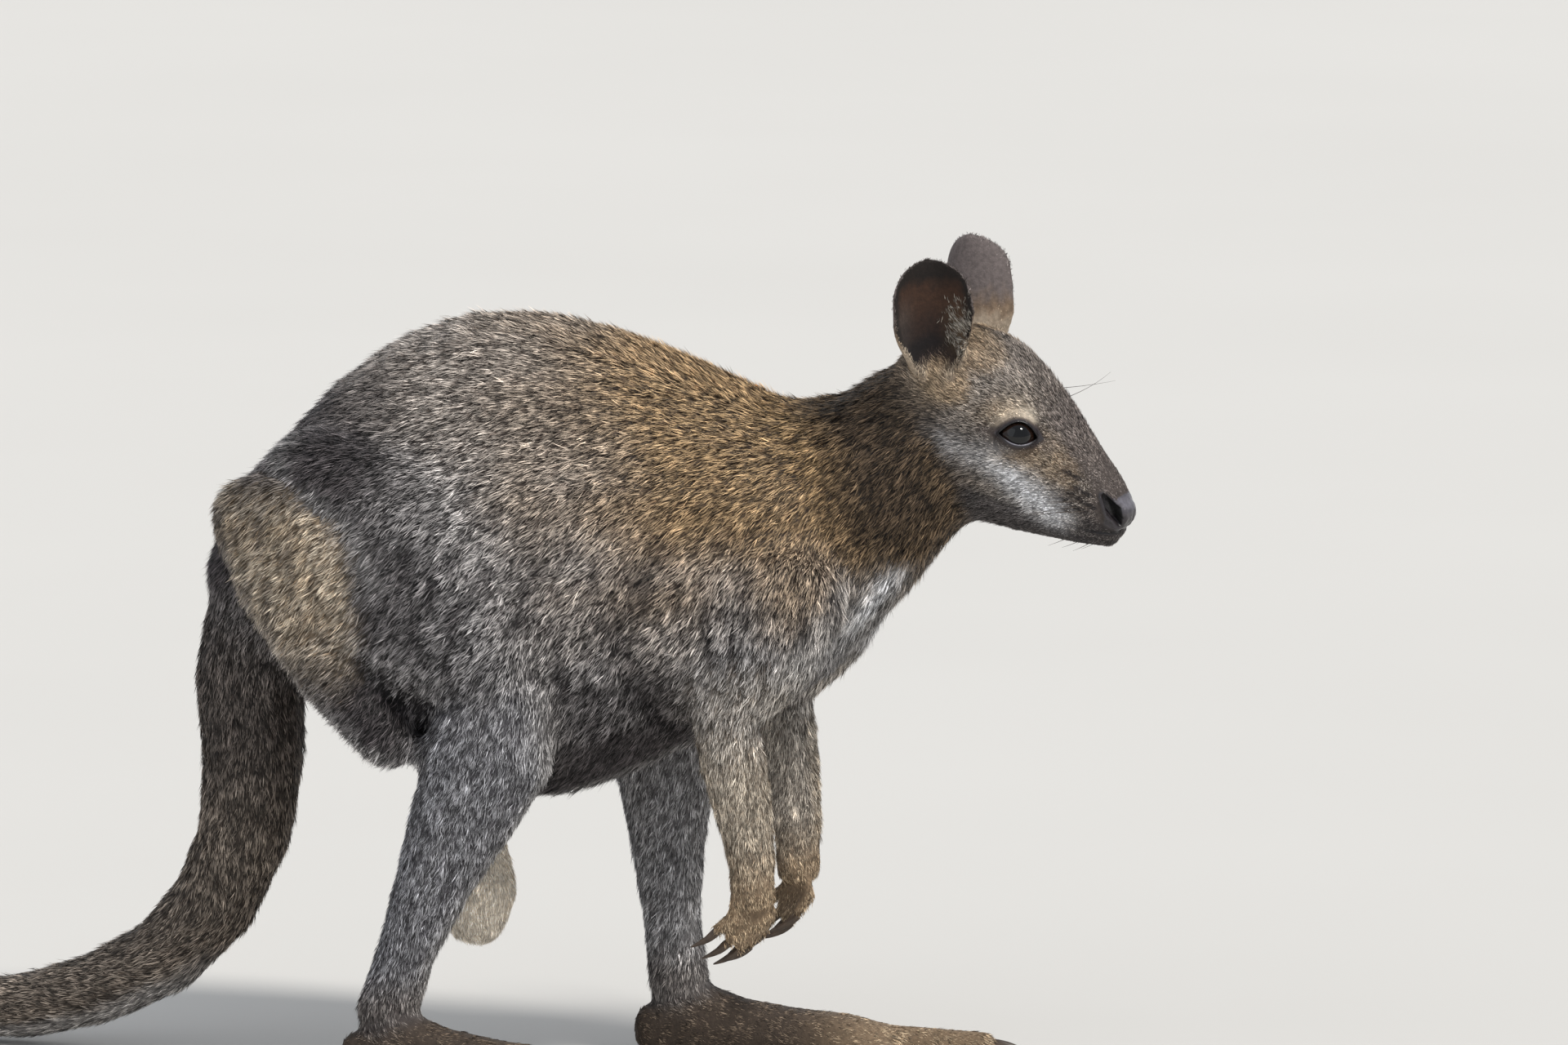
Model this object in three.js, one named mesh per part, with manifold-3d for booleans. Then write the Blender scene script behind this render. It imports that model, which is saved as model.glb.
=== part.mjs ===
// A red-necked (Bennett's) wallaby, life size, as a still model: millimetres, +Z up, facing +X.
// The animal's right side is on -Y. Every outline runs out to the tips of the coat.
import * as THREE from "three";
import { mergeVertices } from "three/addons/utils/BufferGeometryUtils.js";
import Module from "manifold-3d";

const wasm = await Module();
wasm.setup();

// Driving sizes
const GAP = 0.3; // left between neighbouring pieces
const HEAD_LENGTH = 160; // nose tip to occiput
const HEAD_PITCH = 30.5; // degrees, nose down
const HEAD_YAW = -4; // degrees, a little toward the animal's right
const HEAD_ROLL = -3; // degrees, crown tipped to the animal's right
const NOSE_TIP = [343, -6, 328];
const EYE_RADIUS = 11.5;
const EAR_LENGTH = 70; // with its buried root
const EAR_HALF_WIDTH = 23.5;
const EAR_THICKNESS = 2.6;
const HIP_HEIGHT = 322;
const HIP_HALF_SPAN = 54;
const KNEE_HALF_SPAN = 82;
const ANKLE_HEIGHT = 38;
const ANKLE_HALF_SPAN = 66;
const FOOT_LENGTH = 205; // ankle to the tip of the long claw
const SHOULDER_HEIGHT = 286;
const ELBOW_HEIGHT = 212;
const WRIST_HEIGHT = 127;
const ARM_HALF_SPAN = 50;
const KNUCKLE_DROP = 15; // from the wrist
const FINGER_SPACING = 4.9; // at the knuckles
const FINGER_ROW = [-0.66, 0.75]; // x and outward parts of the line from the inner finger to the outer
const FINGER_REACH = [0.8, 0.97, 1, 0.86, 0.62]; // from the inner finger to the outer one
const FINGER_CLAW_SIZE = 3.1;
const TAIL_LENGTHS = 5;

// The animal stands with its left hind leg set ahead of its right one.
const RIGHT = { side: -1, hip: -124, knee: -3, ankle: -74, shoulder: 150, elbow: 122, wrist: 133 };
const LEFT = { side: 1, hip: -112, knee: 36, ankle: 62, shoulder: 154, elbow: 125, wrist: 136 };

// Coat and skin colours
const GREY_BROWN = { color: 0x6f6459, roughness: 0.95 };
const RUFOUS = { color: 0x8a6644, roughness: 0.95 };
const PALE = { color: 0xb8a98f, roughness: 0.95 };
const FACE_GREY = { color: 0x75695d, roughness: 0.95 };
const EAR_DARK = { color: 0x463c38, roughness: 0.9 };
const PAW_DARK = { color: 0x3d3029, roughness: 0.9 };
const TAIL_GREY = { color: 0x5f574f, roughness: 0.95 };
const HORN = { color: 0x1d1a18, roughness: 0.45 };
const NOSE_SKIN = { color: 0x16130f, roughness: 0.4 };
const EYE_DARK = { color: 0x0b0706, roughness: 0.08 };

const V = (x, y, z) => new THREE.Vector3(x, y, z);
const radians = THREE.MathUtils.degToRad;

// The row of values at a place along a table, whose first column is the place, on a smooth curve.
function between(rows, place) {
  let k = 0;
  while (k < rows.length - 2 && place > rows[k + 1][0]) k += 1;
  const start = rows[k];
  const end = rows[k + 1];
  const slope = (i, column) => {
    const before = rows[Math.max(i - 1, 0)];
    const after = rows[Math.min(i + 1, rows.length - 1)];
    return (after[column] - before[column]) / (after[0] - before[0]);
  };
  const span = end[0] - start[0];
  const t = (place - start[0]) / span;
  return start.map((value, column) => {
    const rise = end[column] - value;
    const m0 = slope(k, column) * span;
    const m1 = slope(k + 1, column) * span;
    return value + m0 * t + (3 * rise - 2 * m0 - m1) * t * t + (m0 + m1 - 2 * rise) * t * t * t;
  });
}

// A closed solid from rings of points, with a pole at each end.
function solidFromRings(rings, firstPole, lastPole) {
  const sides = rings[0].length;
  const points = [firstPole, ...rings.flat(), lastPole];
  const last = points.length - 1;
  const faces = [];
  for (let i = 0; i < sides; i += 1) {
    const j = (i + 1) % sides;
    faces.push(0, 1 + j, 1 + i);
    faces.push(last, last - sides + i, last - sides + j);
    for (let r = 0; r < rings.length - 1; r += 1) {
      const a = 1 + r * sides;
      const b = a + sides;
      faces.push(a + i, a + j, b + i);
      faces.push(a + j, b + j, b + i);
    }
  }
  const geometry = new THREE.BufferGeometry().setFromPoints(points);
  geometry.setIndex(faces);
  return solidFromGeometry(geometry);
}

// Six times the volume that a closed surface holds, negative if it faces inwards.
function signedVolume(position, index) {
  const corner = (i) => new THREE.Vector3().fromBufferAttribute(position, index[i]);
  let sum = 0;
  for (let i = 0; i < index.length; i += 3) {
    sum += corner(i).dot(corner(i + 1).cross(corner(i + 2)));
  }
  return sum;
}

function solidFromGeometry(geometry) {
  geometry.deleteAttribute("normal");
  geometry.deleteAttribute("uv");
  const merged = mergeVertices(geometry, 1e-3);
  const triVerts = new Uint32Array(merged.index.array);
  if (signedVolume(merged.attributes.position, triVerts) < 0) triVerts.reverse();
  const vertProperties = new Float32Array(merged.attributes.position.array);
  return new wasm.Manifold(new wasm.Mesh({ numProp: 3, vertProperties, triVerts }));
}

// Points of an oval round a centre: half sizes up, down and to each side, squarer as power grows.
function oval(centre, up, side, { above, below, across, power = 2, count }) {
  const ring = [];
  for (let i = 0; i < count; i += 1) {
    const angle = (2 * Math.PI * i) / count;
    const c = Math.cos(angle);
    const s = Math.sin(angle);
    const out = Math.sign(c) * Math.abs(c) ** (2 / power) * across;
    const rise = Math.sign(s) * Math.abs(s) ** (2 / power) * (s > 0 ? above : below);
    ring.push(centre.clone().addScaledVector(side, out).addScaledVector(up, rise));
  }
  return ring;
}

// A loft of ovals. ribAt(t) gives centre, up, side, along and half sizes for t from 0 to 1. Its
// ends are domes of the given lengths, it is grown by an even margin, and it rests on the floor
// if it is told to.
function loft(ribAt, options) {
  const { count = 14, rings = 8, caps = [8, 8], dome = 2, power = 2, grow = 0, floor = false } = options;
  const all = [];
  const poles = [];
  const addRib = (t, shrink, shift) => {
    const rib = ribAt(t);
    const centre = rib.centre.clone().addScaledVector(rib.along, shift);
    const sizes = {
      above: (rib.above + grow) * shrink,
      below: (rib.below + grow) * shrink,
      across: (rib.across + grow) * shrink,
      power: rib.power ?? power,
      count,
    };
    all.push(oval(centre, rib.up, rib.side, sizes));
  };
  for (const end of [0, 1]) {
    const rib = ribAt(end);
    const reach = (end === 0 ? -1 : 1) * (caps[end] + grow);
    poles.push(rib.centre.clone().addScaledVector(rib.along, reach));
  }
  for (let i = dome; i > 0; i -= 1) {
    const lift = (i / (dome + 1)) * (Math.PI / 2);
    addRib(0, Math.cos(lift), -Math.sin(lift) * (caps[0] + grow));
  }
  for (let i = 0; i <= rings; i += 1) addRib(i / rings, 1, 0);
  for (let i = 1; i <= dome; i += 1) {
    const lift = (i / (dome + 1)) * (Math.PI / 2);
    addRib(1, Math.cos(lift), Math.sin(lift) * (caps[1] + grow));
  }
  if (floor) {
    for (const point of [...all.flat(), ...poles]) point.z = Math.max(point.z, -grow);
  }
  return solidFromRings(all, poles[0], poles[1]);
}

// A body part in the middle plane, told by its outline as seen from the side. Each row holds the
// place, the x and z of the upper line, the x and z of the lower line, the half width, and how
// far down its widest level lies, from -1 to 1.
function outlineLoft(rows, options, place = new THREE.Matrix4()) {
  const level = (row) => {
    const upper = V(row[1], 0, row[2]);
    const lower = V(row[3], 0, row[4]);
    const half = upper.distanceTo(lower) / 2;
    const up = upper.clone().sub(lower).normalize();
    const centre = upper.add(lower).multiplyScalar(0.5).addScaledVector(up, -row[6] * half);
    return { centre, up, half };
  };
  const first = rows[0][0];
  const last = rows[rows.length - 1][0];
  const ribAt = (t) => {
    const row = between(rows, THREE.MathUtils.lerp(first, last, t));
    const { centre, up, half } = level(row);
    const side = V(0, 1, 0);
    const along = side.clone().cross(up);
    if (rows[0][1] > rows[rows.length - 1][1]) along.negate();
    return {
      centre: centre.applyMatrix4(place),
      up: up.transformDirection(place),
      side: side.transformDirection(place),
      along: along.transformDirection(place),
      above: half * (1 + row[6]),
      below: half * (1 - row[6]),
      across: row[5],
    };
  };
  return loft(ribAt, options);
}

// A limb, toe or tail along a path. Each row holds the place along it from 0 to 1, and the half
// sizes to the front, to the back and to each side. Front is up where the path lies flat.
function pathLoft(path, rows, options) {
  const curve = new THREE.CatmullRomCurve3(path, false, "centripetal");
  const ribAt = (t) => {
    const [, above, below, across] = between(rows, t);
    const along = curve.getTangentAt(t).normalize();
    const up = along.clone().cross(V(0, 1, 0)).negate().normalize();
    const side = up.clone().cross(along).normalize();
    return { centre: curve.getPointAt(t), up, side, along, above, below, across };
  };
  return loft(ribAt, options);
}

// A piece as made, and the room that it takes from its neighbours, a gap wider all round.
function piece(make) {
  return { solid: make(0), room: make(GAP) };
}

// The largest body that is left of a piece once its neighbours' rooms are cut out.
function without(solid, ...neighbours) {
  const left = neighbours.reduce((rest, other) => rest.subtract(other.room), solid);
  return left.decompose().sort((a, b) => b.volume() - a.volume())[0];
}

const model = new THREE.Group();

function addMesh(name, solid, look) {
  const data = solid.getMesh();
  const geometry = new THREE.BufferGeometry();
  geometry.setAttribute("position", new THREE.BufferAttribute(data.vertProperties, 3));
  geometry.setIndex(new THREE.BufferAttribute(data.triVerts, 1));
  geometry.computeVertexNormals();
  const mesh = new THREE.Mesh(geometry, new THREE.MeshStandardMaterial({ metalness: 0, ...look }));
  mesh.name = name;
  model.add(mesh);
}

// Trunk, from the rump over the arched back to the chest
const TRUNK = [
  [0.0, -192, 286, -158, 237, 33, 0],
  [0.1, -176, 321, -124, 218, 52, 0],
  [0.22, -142, 362, -94, 193, 70, 0.05],
  [0.36, -94, 407, -56, 164, 84, 0.1],
  [0.5, -38, 430, -14, 153, 92, 0.12],
  [0.64, 22, 429, 30, 158, 92, 0.12],
  [0.78, 78, 412, 76, 180, 82, 0.1],
  [0.9, 130, 391, 132, 205, 70, 0.05],
  [1.0, 158, 375, 172, 231, 58, 0],
];

function makeTrunk(grow) {
  return outlineLoft(TRUNK, { count: 16, rings: 10, caps: [10, 26], power: 2.15, dome: 1, grow });
}

// Neck, from between the shoulders to the back of the skull
const NECK = [
  [0.0, 118, 392, 150, 228, 54, 0],
  [0.3, 156, 388, 196, 254, 49, 0],
  [0.6, 183, 397, 224, 289, 43, 0],
  [0.85, 208, 413, 243, 312, 40, 0],
  [1.0, 226, 420, 256, 322, 36, 0],
];

function makeNeck(grow) {
  return outlineLoft(NECK, { count: 12, rings: 4, caps: [10, 10], power: 2.1, dome: 1, grow });
}

// The head has a frame of its own: x runs from the nose tip back to the occiput, y to the animal's
// right, and z up.
const headFrame = new THREE.Matrix4()
  .makeTranslation(...NOSE_TIP)
  .multiply(new THREE.Matrix4().makeRotationZ(Math.PI + radians(HEAD_YAW)))
  .multiply(new THREE.Matrix4().makeRotationY(radians(-HEAD_PITCH)))
  .multiply(new THREE.Matrix4().makeRotationX(radians(HEAD_ROLL)));

const HEAD = [
  [0.03, 4, 3, 3, -25, 12.5, 0],
  [0.12, 18, 12, 17, -32, 17.5, 0.1],
  [0.23, 37, 21, 36, -40, 20.5, 0.1],
  [0.35, 56, 31, 55, -48, 26, 0],
  [0.47, 75, 39, 74, -55, 33, -0.05],
  [0.6, 96, 45, 95, -60, 38.5, -0.05],
  [0.73, 117, 46, 117, -60, 39.5, 0],
  [0.86, 138, 39, 137, -50, 35, 0],
  [0.97, 152, 26, 152, -36, 26, 0],
];

function makeSkull(grow) {
  const options = { count: 16, rings: 11, caps: [3, HEAD_LENGTH - 152], power: 2.2, dome: 1, grow };
  return outlineLoft(HEAD, options, headFrame);
}

// The space below the mouth line that the lower jaw takes up
function makeJawSpace(grow) {
  const box = new THREE.BoxGeometry(66 + 2 * grow, 90, 40 + 2 * grow);
  box.translate(24, 0, -20);
  box.rotateY(radians(20));
  box.translate(-6, 0, -16);
  return solidFromGeometry(box.applyMatrix4(headFrame));
}

function makeNose(grow) {
  const ball = new THREE.SphereGeometry(1, 10, 7);
  ball.scale(9 + grow, 12.5 + grow, 9.5 + grow);
  ball.translate(8, 0, -5.5);
  return solidFromGeometry(ball.applyMatrix4(headFrame));
}

function makeEye(side, grow) {
  const ball = new THREE.SphereGeometry(EYE_RADIUS + grow, 12, 7);
  ball.translate(75.5, -side * 24, 7);
  return solidFromGeometry(ball.applyMatrix4(headFrame));
}

// An ear is a leaf rolled to a cup. Each row holds the place from root to tip, the half width as
// a share of the full one, and the half angle in degrees that the cup goes round.
const EAR = [
  [0.0, 0.5, 160],
  [0.16, 0.68, 135],
  [0.32, 0.9, 100],
  [0.55, 1.0, 78],
  [0.76, 0.95, 72],
  [0.88, 0.77, 68],
  [0.95, 0.53, 66],
  [0.985, 0.31, 64],
  [1.0, 0.12, 64],
];

function makeEar(side, grow) {
  const rings = 8;
  const steps = 6;
  const wall = EAR_THICKNESS + 2 * grow;
  const all = [];
  for (let i = 0; i <= rings; i += 1) {
    const t = 1 - (1 - i / rings) ** 1.7; // closer rings round off the tip
    const [, width, degrees] = between(EAR, t);
    const reach = radians(degrees);
    const radius = (EAR_HALF_WIDTH * width) / Math.sin(Math.min(reach, Math.PI / 2)) + grow;
    const height = t * EAR_LENGTH + (t === 0 ? -grow : 0) + (t === 1 ? grow : 0);
    const back = 5 * t * t; // the back of the ear leans forward toward its tip
    const at = (angle, r) => V(radius - r * Math.cos(angle) + back, r * Math.sin(angle), height);
    const ring = [];
    for (let k = 0; k <= steps; k += 1) ring.push(at(reach * ((2 * k) / steps - 1), radius));
    for (let k = steps; k >= 0; k -= 1) {
      ring.push(at(reach * ((2 * k) / steps - 1) * 0.97, Math.max(radius - wall, 1)));
    }
    all.push(ring);
  }
  const middle = (ring, z) => ring[3].clone().add(ring[ring.length - 4]).multiplyScalar(0.5).setZ(z);
  const first = middle(all[0], -1 - grow);
  const last = middle(all[rings], EAR_LENGTH + 1 + grow);
  const place = new THREE.Matrix4()
    .makeTranslation(...earRoot(side))
    .multiply(new THREE.Matrix4().makeRotationX(radians(-9 * side)))
    .multiply(new THREE.Matrix4().makeRotationY(radians(-1)))
    .multiply(new THREE.Matrix4().makeRotationZ(radians(66 * side)));
  for (const point of [...all.flat(), first, last]) point.applyMatrix4(place);
  return solidFromRings(all, first, last);
}

function earRoot(side) {
  const root = V(136, -side * 24, 12).applyMatrix4(headFrame);
  return [root.x, root.y, root.z - 2];
}

// Hind leg: thigh from hip to knee, shank from knee to ankle
function hip(leg) {
  return V(leg.hip, leg.side * HIP_HALF_SPAN, HIP_HEIGHT);
}

function knee(leg) {
  return V(leg.knee, leg.side * KNEE_HALF_SPAN, leg === RIGHT ? 238 : 246);
}

function ankle(leg) {
  return V(leg.ankle, leg.side * ANKLE_HALF_SPAN, ANKLE_HEIGHT);
}

function makeThigh(leg, grow) {
  const rows = [
    [0, 54, 56, 40],
    [0.25, 62, 76, 43],
    [0.6, 54, 80, 38],
    [0.85, 38, 60, 31],
    [1, 29, 40, 26],
  ];
  const thigh = pathLoft([hip(leg), knee(leg)], rows, { count: 12, rings: 4, caps: [36, 20], dome: 1, grow });
  return thigh.add(makeHamstring(leg, grow));
}

// The ridge of muscle at the back of the leg, from the seat bone down to the calf
function makeHamstring(leg, grow) {
  const start = hip(leg).add(V(-22, leg.side * 4, -4));
  const end = knee(leg).lerp(ankle(leg), 0.2).add(V(-48, leg.side * 2, 0));
  const middle = start.clone().lerp(end, 0.5).add(V(-4, leg.side * 9, -7));
  const rows = [
    [0, 28, 28, 27],
    [0.5, 26, 26, 24],
    [1, 20, 20, 19],
  ];
  return pathLoft([start, middle, end], rows, { count: 8, rings: 3, caps: [24, 20], dome: 1, grow });
}

function makeShank(leg, grow) {
  const rows = [
    [0, 22, 34, 20],
    [0.15, 28, 50, 26],
    [0.35, 25, 43, 25],
    [0.6, 20, 28, 19],
    [0.85, 16.5, 19, 15],
    [1, 17.5, 21, 16],
  ];
  return pathLoft([knee(leg), ankle(leg)], rows, { count: 10, rings: 5, caps: [12, 10], dome: 1, grow });
}

// Feet: the frame of a foot has its origin on the floor below the ankle and x to the toes.
const FOOT = [
  [0.0, -16, 30, -17, 0, 12, 0],
  [0.12, -4, 44, -6, -3, 16, 0],
  [0.25, 14, 45, 14, -4, 17, 0],
  [0.4, 38, 34, 38, -4, 16.5, 0],
  [0.65, 76, 28, 76, -4, 18, 0],
  [0.88, 108, 25, 108, -4, 19.5, 0],
  [1.0, 124, 20, 124, -3, 16, 0],
];

// Each toe: path in the foot's frame, with y outward, then half height and half width
const TOES = {
  long: { path: [[100, 2, 11], [145, 3, 10], [176, 4, 9]], size: [12, 9], width: [10, 8] },
  outer: { path: [[96, 13, 9], [122, 19, 8.5], [146, 23, 7.5]], size: [9, 7], width: [8, 6.5] },
  grooming: { path: [[88, -13, 9], [110, -17, 8], [130, -19, 7]], size: [8, 6], width: [6.5, 5] },
};
const TOE_CLAWS = {
  long: { path: [[172, 4, 9], [188, 5, 8.5], [FOOT_LENGTH, 5, 3]], size: 5.2 },
  outer: { path: [[143, 22.5, 7.5], [153, 24.5, 7], [162, 25.5, 2.8]], size: 4 },
  grooming_1: { path: [[128, -21, 7.5], [134, -22, 7.5], [140, -22.5, 4.5]], size: 2.4 },
  grooming_2: { path: [[129, -16.5, 7.5], [135, -17, 7.5], [141, -17, 4.5]], size: 2.4 },
};

function inFoot(leg, [x, outward, z]) {
  const turn = leg.side * radians(5);
  const place = ankle(leg);
  const y = leg.side * outward;
  return V(
    place.x + x * Math.cos(turn) - y * Math.sin(turn),
    place.y + x * Math.sin(turn) + y * Math.cos(turn),
    z,
  );
}

function makeFoot(leg, grow) {
  const place = new THREE.Matrix4()
    .makeTranslation(ankle(leg).x, ankle(leg).y, 0)
    .multiply(new THREE.Matrix4().makeRotationZ(leg.side * radians(5)));
  const sole = { count: 10, rings: 5, caps: [9, 8], dome: 1, power: 2.5, grow, floor: true };
  let foot = outlineLoft(FOOT, sole, place);
  for (const toe of Object.values(TOES)) {
    const rows = [
      [0, toe.size[0], toe.size[0], toe.width[0]],
      [1, toe.size[1], toe.size[1], toe.width[1]],
    ];
    const options = { count: 6, rings: 2, caps: [3, 6], dome: 1, grow, floor: true };
    foot = foot.add(pathLoft(toe.path.map((point) => inFoot(leg, point)), rows, options));
  }
  return foot;
}

// A claw narrows from its root to a blunt point.
function makeClaw(path, size, grow) {
  const rows = [
    [0, size, size, size * 0.8],
    [0.6, size * 0.72, size * 0.66, size * 0.55],
    [1, 0.7, 0.7, 0.6],
  ];
  return pathLoft(path, rows, { count: 5, rings: 2, caps: [1, 0.6], dome: 0, grow, floor: true });
}

// The furred pouch of a male, which hangs from the belly between the hind legs
function makeScrotum(grow) {
  const path = [V(-30, 0, 172), V(-34, 0, 132), V(-38, 0, 78)];
  const rows = [
    [0, 8, 8, 9],
    [0.35, 12, 12, 12],
    [0.7, 25, 25, 23],
    [1, 18, 18, 17],
  ];
  return pathLoft(path, rows, { count: 8, rings: 4, caps: [2, 9], dome: 1, grow });
}

// Fore leg: upper arm from shoulder to elbow, forearm from elbow to wrist, hanging hand
function shoulder(arm) {
  return V(arm.shoulder, arm.side * ARM_HALF_SPAN, SHOULDER_HEIGHT);
}

function elbow(arm) {
  return V(arm.elbow, arm.side * (ARM_HALF_SPAN + 6), ELBOW_HEIGHT);
}

function wrist(arm) {
  return V(arm.wrist, arm.side * (ARM_HALF_SPAN - 3), WRIST_HEIGHT);
}

function makeUpperArm(arm, grow) {
  const rows = [
    [0, 46, 44, 30],
    [0.4, 40, 42, 28],
    [0.75, 27, 31, 23],
    [1, 20, 19, 18],
  ];
  return pathLoft([shoulder(arm), elbow(arm)], rows, { count: 10, rings: 4, caps: [32, 12], dome: 1, grow });
}

function makeForearm(arm, grow) {
  const rows = [
    [0, 21, 20, 18],
    [0.3, 21, 19.5, 17.5],
    [0.55, 18, 19.5, 16.5],
    [0.78, 15, 18, 14.5],
    [1, 13, 16, 13],
  ];
  return pathLoft([elbow(arm), wrist(arm)], rows, { count: 8, rings: 4, caps: [10, 5], dome: 1, grow });
}

// The path of a finger, from inside the palm to the root of its claw: fingers fan out, curl back,
// and the middle ones reach lowest.
function fingerPath(arm, finger) {
  const fan = finger - 2;
  const reach = FINGER_REACH[finger];
  const start = wrist(arm);
  const joint = (forward, spread, down) => {
    const aside = fan * (FINGER_SPACING + spread);
    const x = start.x + forward + FINGER_ROW[0] * aside;
    const y = start.y + arm.side * FINGER_ROW[1] * aside;
    return V(x, y, start.z - KNUCKLE_DROP - down * reach);
  };
  return [joint(0, 0, 0), joint(2, 1.2, 12), joint(-1, 2, 23), joint(-7, 2.4, 30)];
}

function makeHand(arm, grow) {
  const start = wrist(arm);
  const palm = [V(start.x - 1, start.y, start.z + 6), V(start.x, start.y, start.z - 18)];
  const rows = [
    [0, 12, 14.5, 12],
    [0.6, 12.5, 15.5, 13.5],
    [1, 11.5, 14.5, 13.5],
  ];
  let hand = pathLoft(palm, rows, { count: 8, rings: 2, caps: [5, 6], dome: 1, grow });
  for (let finger = 0; finger < 5; finger += 1) {
    const taper = [[0, 4.8, 4.8, 4.4], [0.6, 4.7, 4.7, 4], [1, 4.1, 4.1, 3.5]];
    const options = { count: 5, rings: 2, caps: [2, 3], dome: 1, grow };
    hand = hand.add(pathLoft(fingerPath(arm, finger), taper, options));
  }
  return hand;
}

function fingerClaw(arm, finger) {
  const path = fingerPath(arm, finger);
  const tip = path[3];
  const outward = arm.side * (finger - 2) * 0.6;
  return [
    V(tip.x + 1, tip.y, tip.z + 1),
    V(tip.x - 6, tip.y + outward, tip.z - 7),
    V(tip.x - 14, tip.y + 2 * outward, tip.z - 10),
  ];
}

// Tail: down behind the haunches, then back along the floor
const TAIL_PATH = [
  [-134, 0, 296],
  [-157, 0, 260],
  [-168, 0, 216],
  [-167, 0, 164],
  [-180, 2, 106],
  [-222, 6, 54],
  [-298, 12, 23],
  [-400, 14, 15],
  [-510, 2, 11],
  [-610, -18, 8],
].map((point) => V(...point));
const TAIL_SIZES = [
  [0, 40, 38, 40],
  [0.1, 35, 34, 35],
  [0.25, 29, 29, 28],
  [0.45, 23, 23, 22.5],
  [0.6, 18.5, 18.5, 18.5],
  [0.8, 13.5, 13.5, 14],
  [1, 8.5, 8.5, 9],
];

function makeTail(grow) {
  return pathLoft(TAIL_PATH, TAIL_SIZES, { count: 10, rings: 15, caps: [12, 9], dome: 1, grow, floor: true });
}

// The tail is parted into lengths by thin cuts square to its path.
function tailLengths(neighbours) {
  const curve = new THREE.CatmullRomCurve3(TAIL_PATH, false, "centripetal");
  let rest = without(makeTail(0), ...neighbours);
  for (let i = 1; i < TAIL_LENGTHS; i += 1) {
    const t = 0.1 + (0.9 * i) / TAIL_LENGTHS;
    const slab = new THREE.BoxGeometry(90, 90, GAP);
    const turn = new THREE.Quaternion().setFromUnitVectors(V(0, 0, 1), curve.getTangentAt(t));
    slab.applyQuaternion(turn);
    slab.translate(...curve.getPointAt(t));
    rest = rest.subtract(solidFromGeometry(slab));
  }
  return rest;
}

const skull = piece(makeSkull);
const jawSpace = piece(makeJawSpace);
const nose = piece(makeNose);
const neck = piece(makeNeck);
const trunk = piece(makeTrunk);

function addHead() {
  const eyes = [RIGHT, LEFT].map(({ side }) => piece((grow) => makeEye(side, grow)));
  addMesh("head", without(skull.solid, jawSpace, nose, ...eyes), FACE_GREY);
  addMesh("lower_jaw", without(skull.solid.intersect(jawSpace.solid), nose), FACE_GREY);
  addMesh("nose", nose.solid, NOSE_SKIN);
  addMesh("eye_right", eyes[0].solid, EYE_DARK);
  addMesh("eye_left", eyes[1].solid, EYE_DARK);
  addMesh("ear_right", without(makeEar(-1, 0), skull, neck), EAR_DARK);
  addMesh("ear_left", without(makeEar(1, 0), skull, neck), EAR_DARK);
}

function addForeLeg(name, arm) {
  const upperArm = piece((grow) => makeUpperArm(arm, grow));
  const forearm = piece((grow) => makeForearm(arm, grow));
  const hand = piece((grow) => makeHand(arm, grow));
  addMesh(`upper_arm_${name}`, upperArm.solid, GREY_BROWN);
  addMesh(`forearm_${name}`, without(forearm.solid, upperArm), GREY_BROWN);
  addMesh(`hand_${name}`, without(hand.solid, forearm), PAW_DARK);
  for (let finger = 0; finger < 5; finger += 1) {
    const claw = makeClaw(fingerClaw(arm, finger), FINGER_CLAW_SIZE, 0);
    addMesh(`claw_hand_${name}_${finger + 1}`, without(claw, hand), HORN);
  }
  return [upperArm, forearm];
}

function addHindLeg(name, leg) {
  const thigh = piece((grow) => makeThigh(leg, grow));
  const shank = piece((grow) => makeShank(leg, grow));
  const foot = piece((grow) => makeFoot(leg, grow));
  addMesh(`thigh_${name}`, thigh.solid, GREY_BROWN);
  addMesh(`shank_${name}`, without(shank.solid, thigh), GREY_BROWN);
  addMesh(`foot_${name}`, without(foot.solid, shank), PAW_DARK);
  for (const [toe, { path, size }] of Object.entries(TOE_CLAWS)) {
    const claw = makeClaw(path.map((point) => inFoot(leg, point)), size, 0);
    addMesh(`claw_foot_${name}_${toe}`, without(claw, foot), HORN);
  }
  return [thigh, shank];
}

function addTail(neighbours) {
  const lengths = tailLengths(neighbours).decompose();
  const middle = (solid) => solid.boundingBox().max[0] + solid.boundingBox().min[0];
  lengths.sort((a, b) => middle(b) - middle(a));
  lengths.forEach((length, i) => addMesh(`tail_${i + 1}`, length, TAIL_GREY));
}

addHead();
const limbs = [
  ...addForeLeg("right", RIGHT),
  ...addForeLeg("left", LEFT),
  ...addHindLeg("right", RIGHT),
  ...addHindLeg("left", LEFT),
];
addMesh("trunk", without(trunk.solid, ...limbs), GREY_BROWN);
addMesh("neck", without(neck.solid, trunk, skull, ...limbs), RUFOUS);
addMesh("scrotum", without(makeScrotum(0), trunk), PALE);
addTail([trunk, ...limbs]);

// The origin lies on the floor under the middle of the animal's box.
const box = new THREE.Box3().setFromObject(model);
const centre = box.getCenter(V(0, 0, 0));
model.position.set(-centre.x, -centre.y, -box.min.z);

export default model;
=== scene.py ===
"""A red-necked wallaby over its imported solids: one skin, a coat of tufts, eyes, claws and whiskers."""

import math

import bmesh
import bpy
import numpy as np
from mathutils import Matrix, Vector
from mathutils.bvhtree import BVHTree


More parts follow.
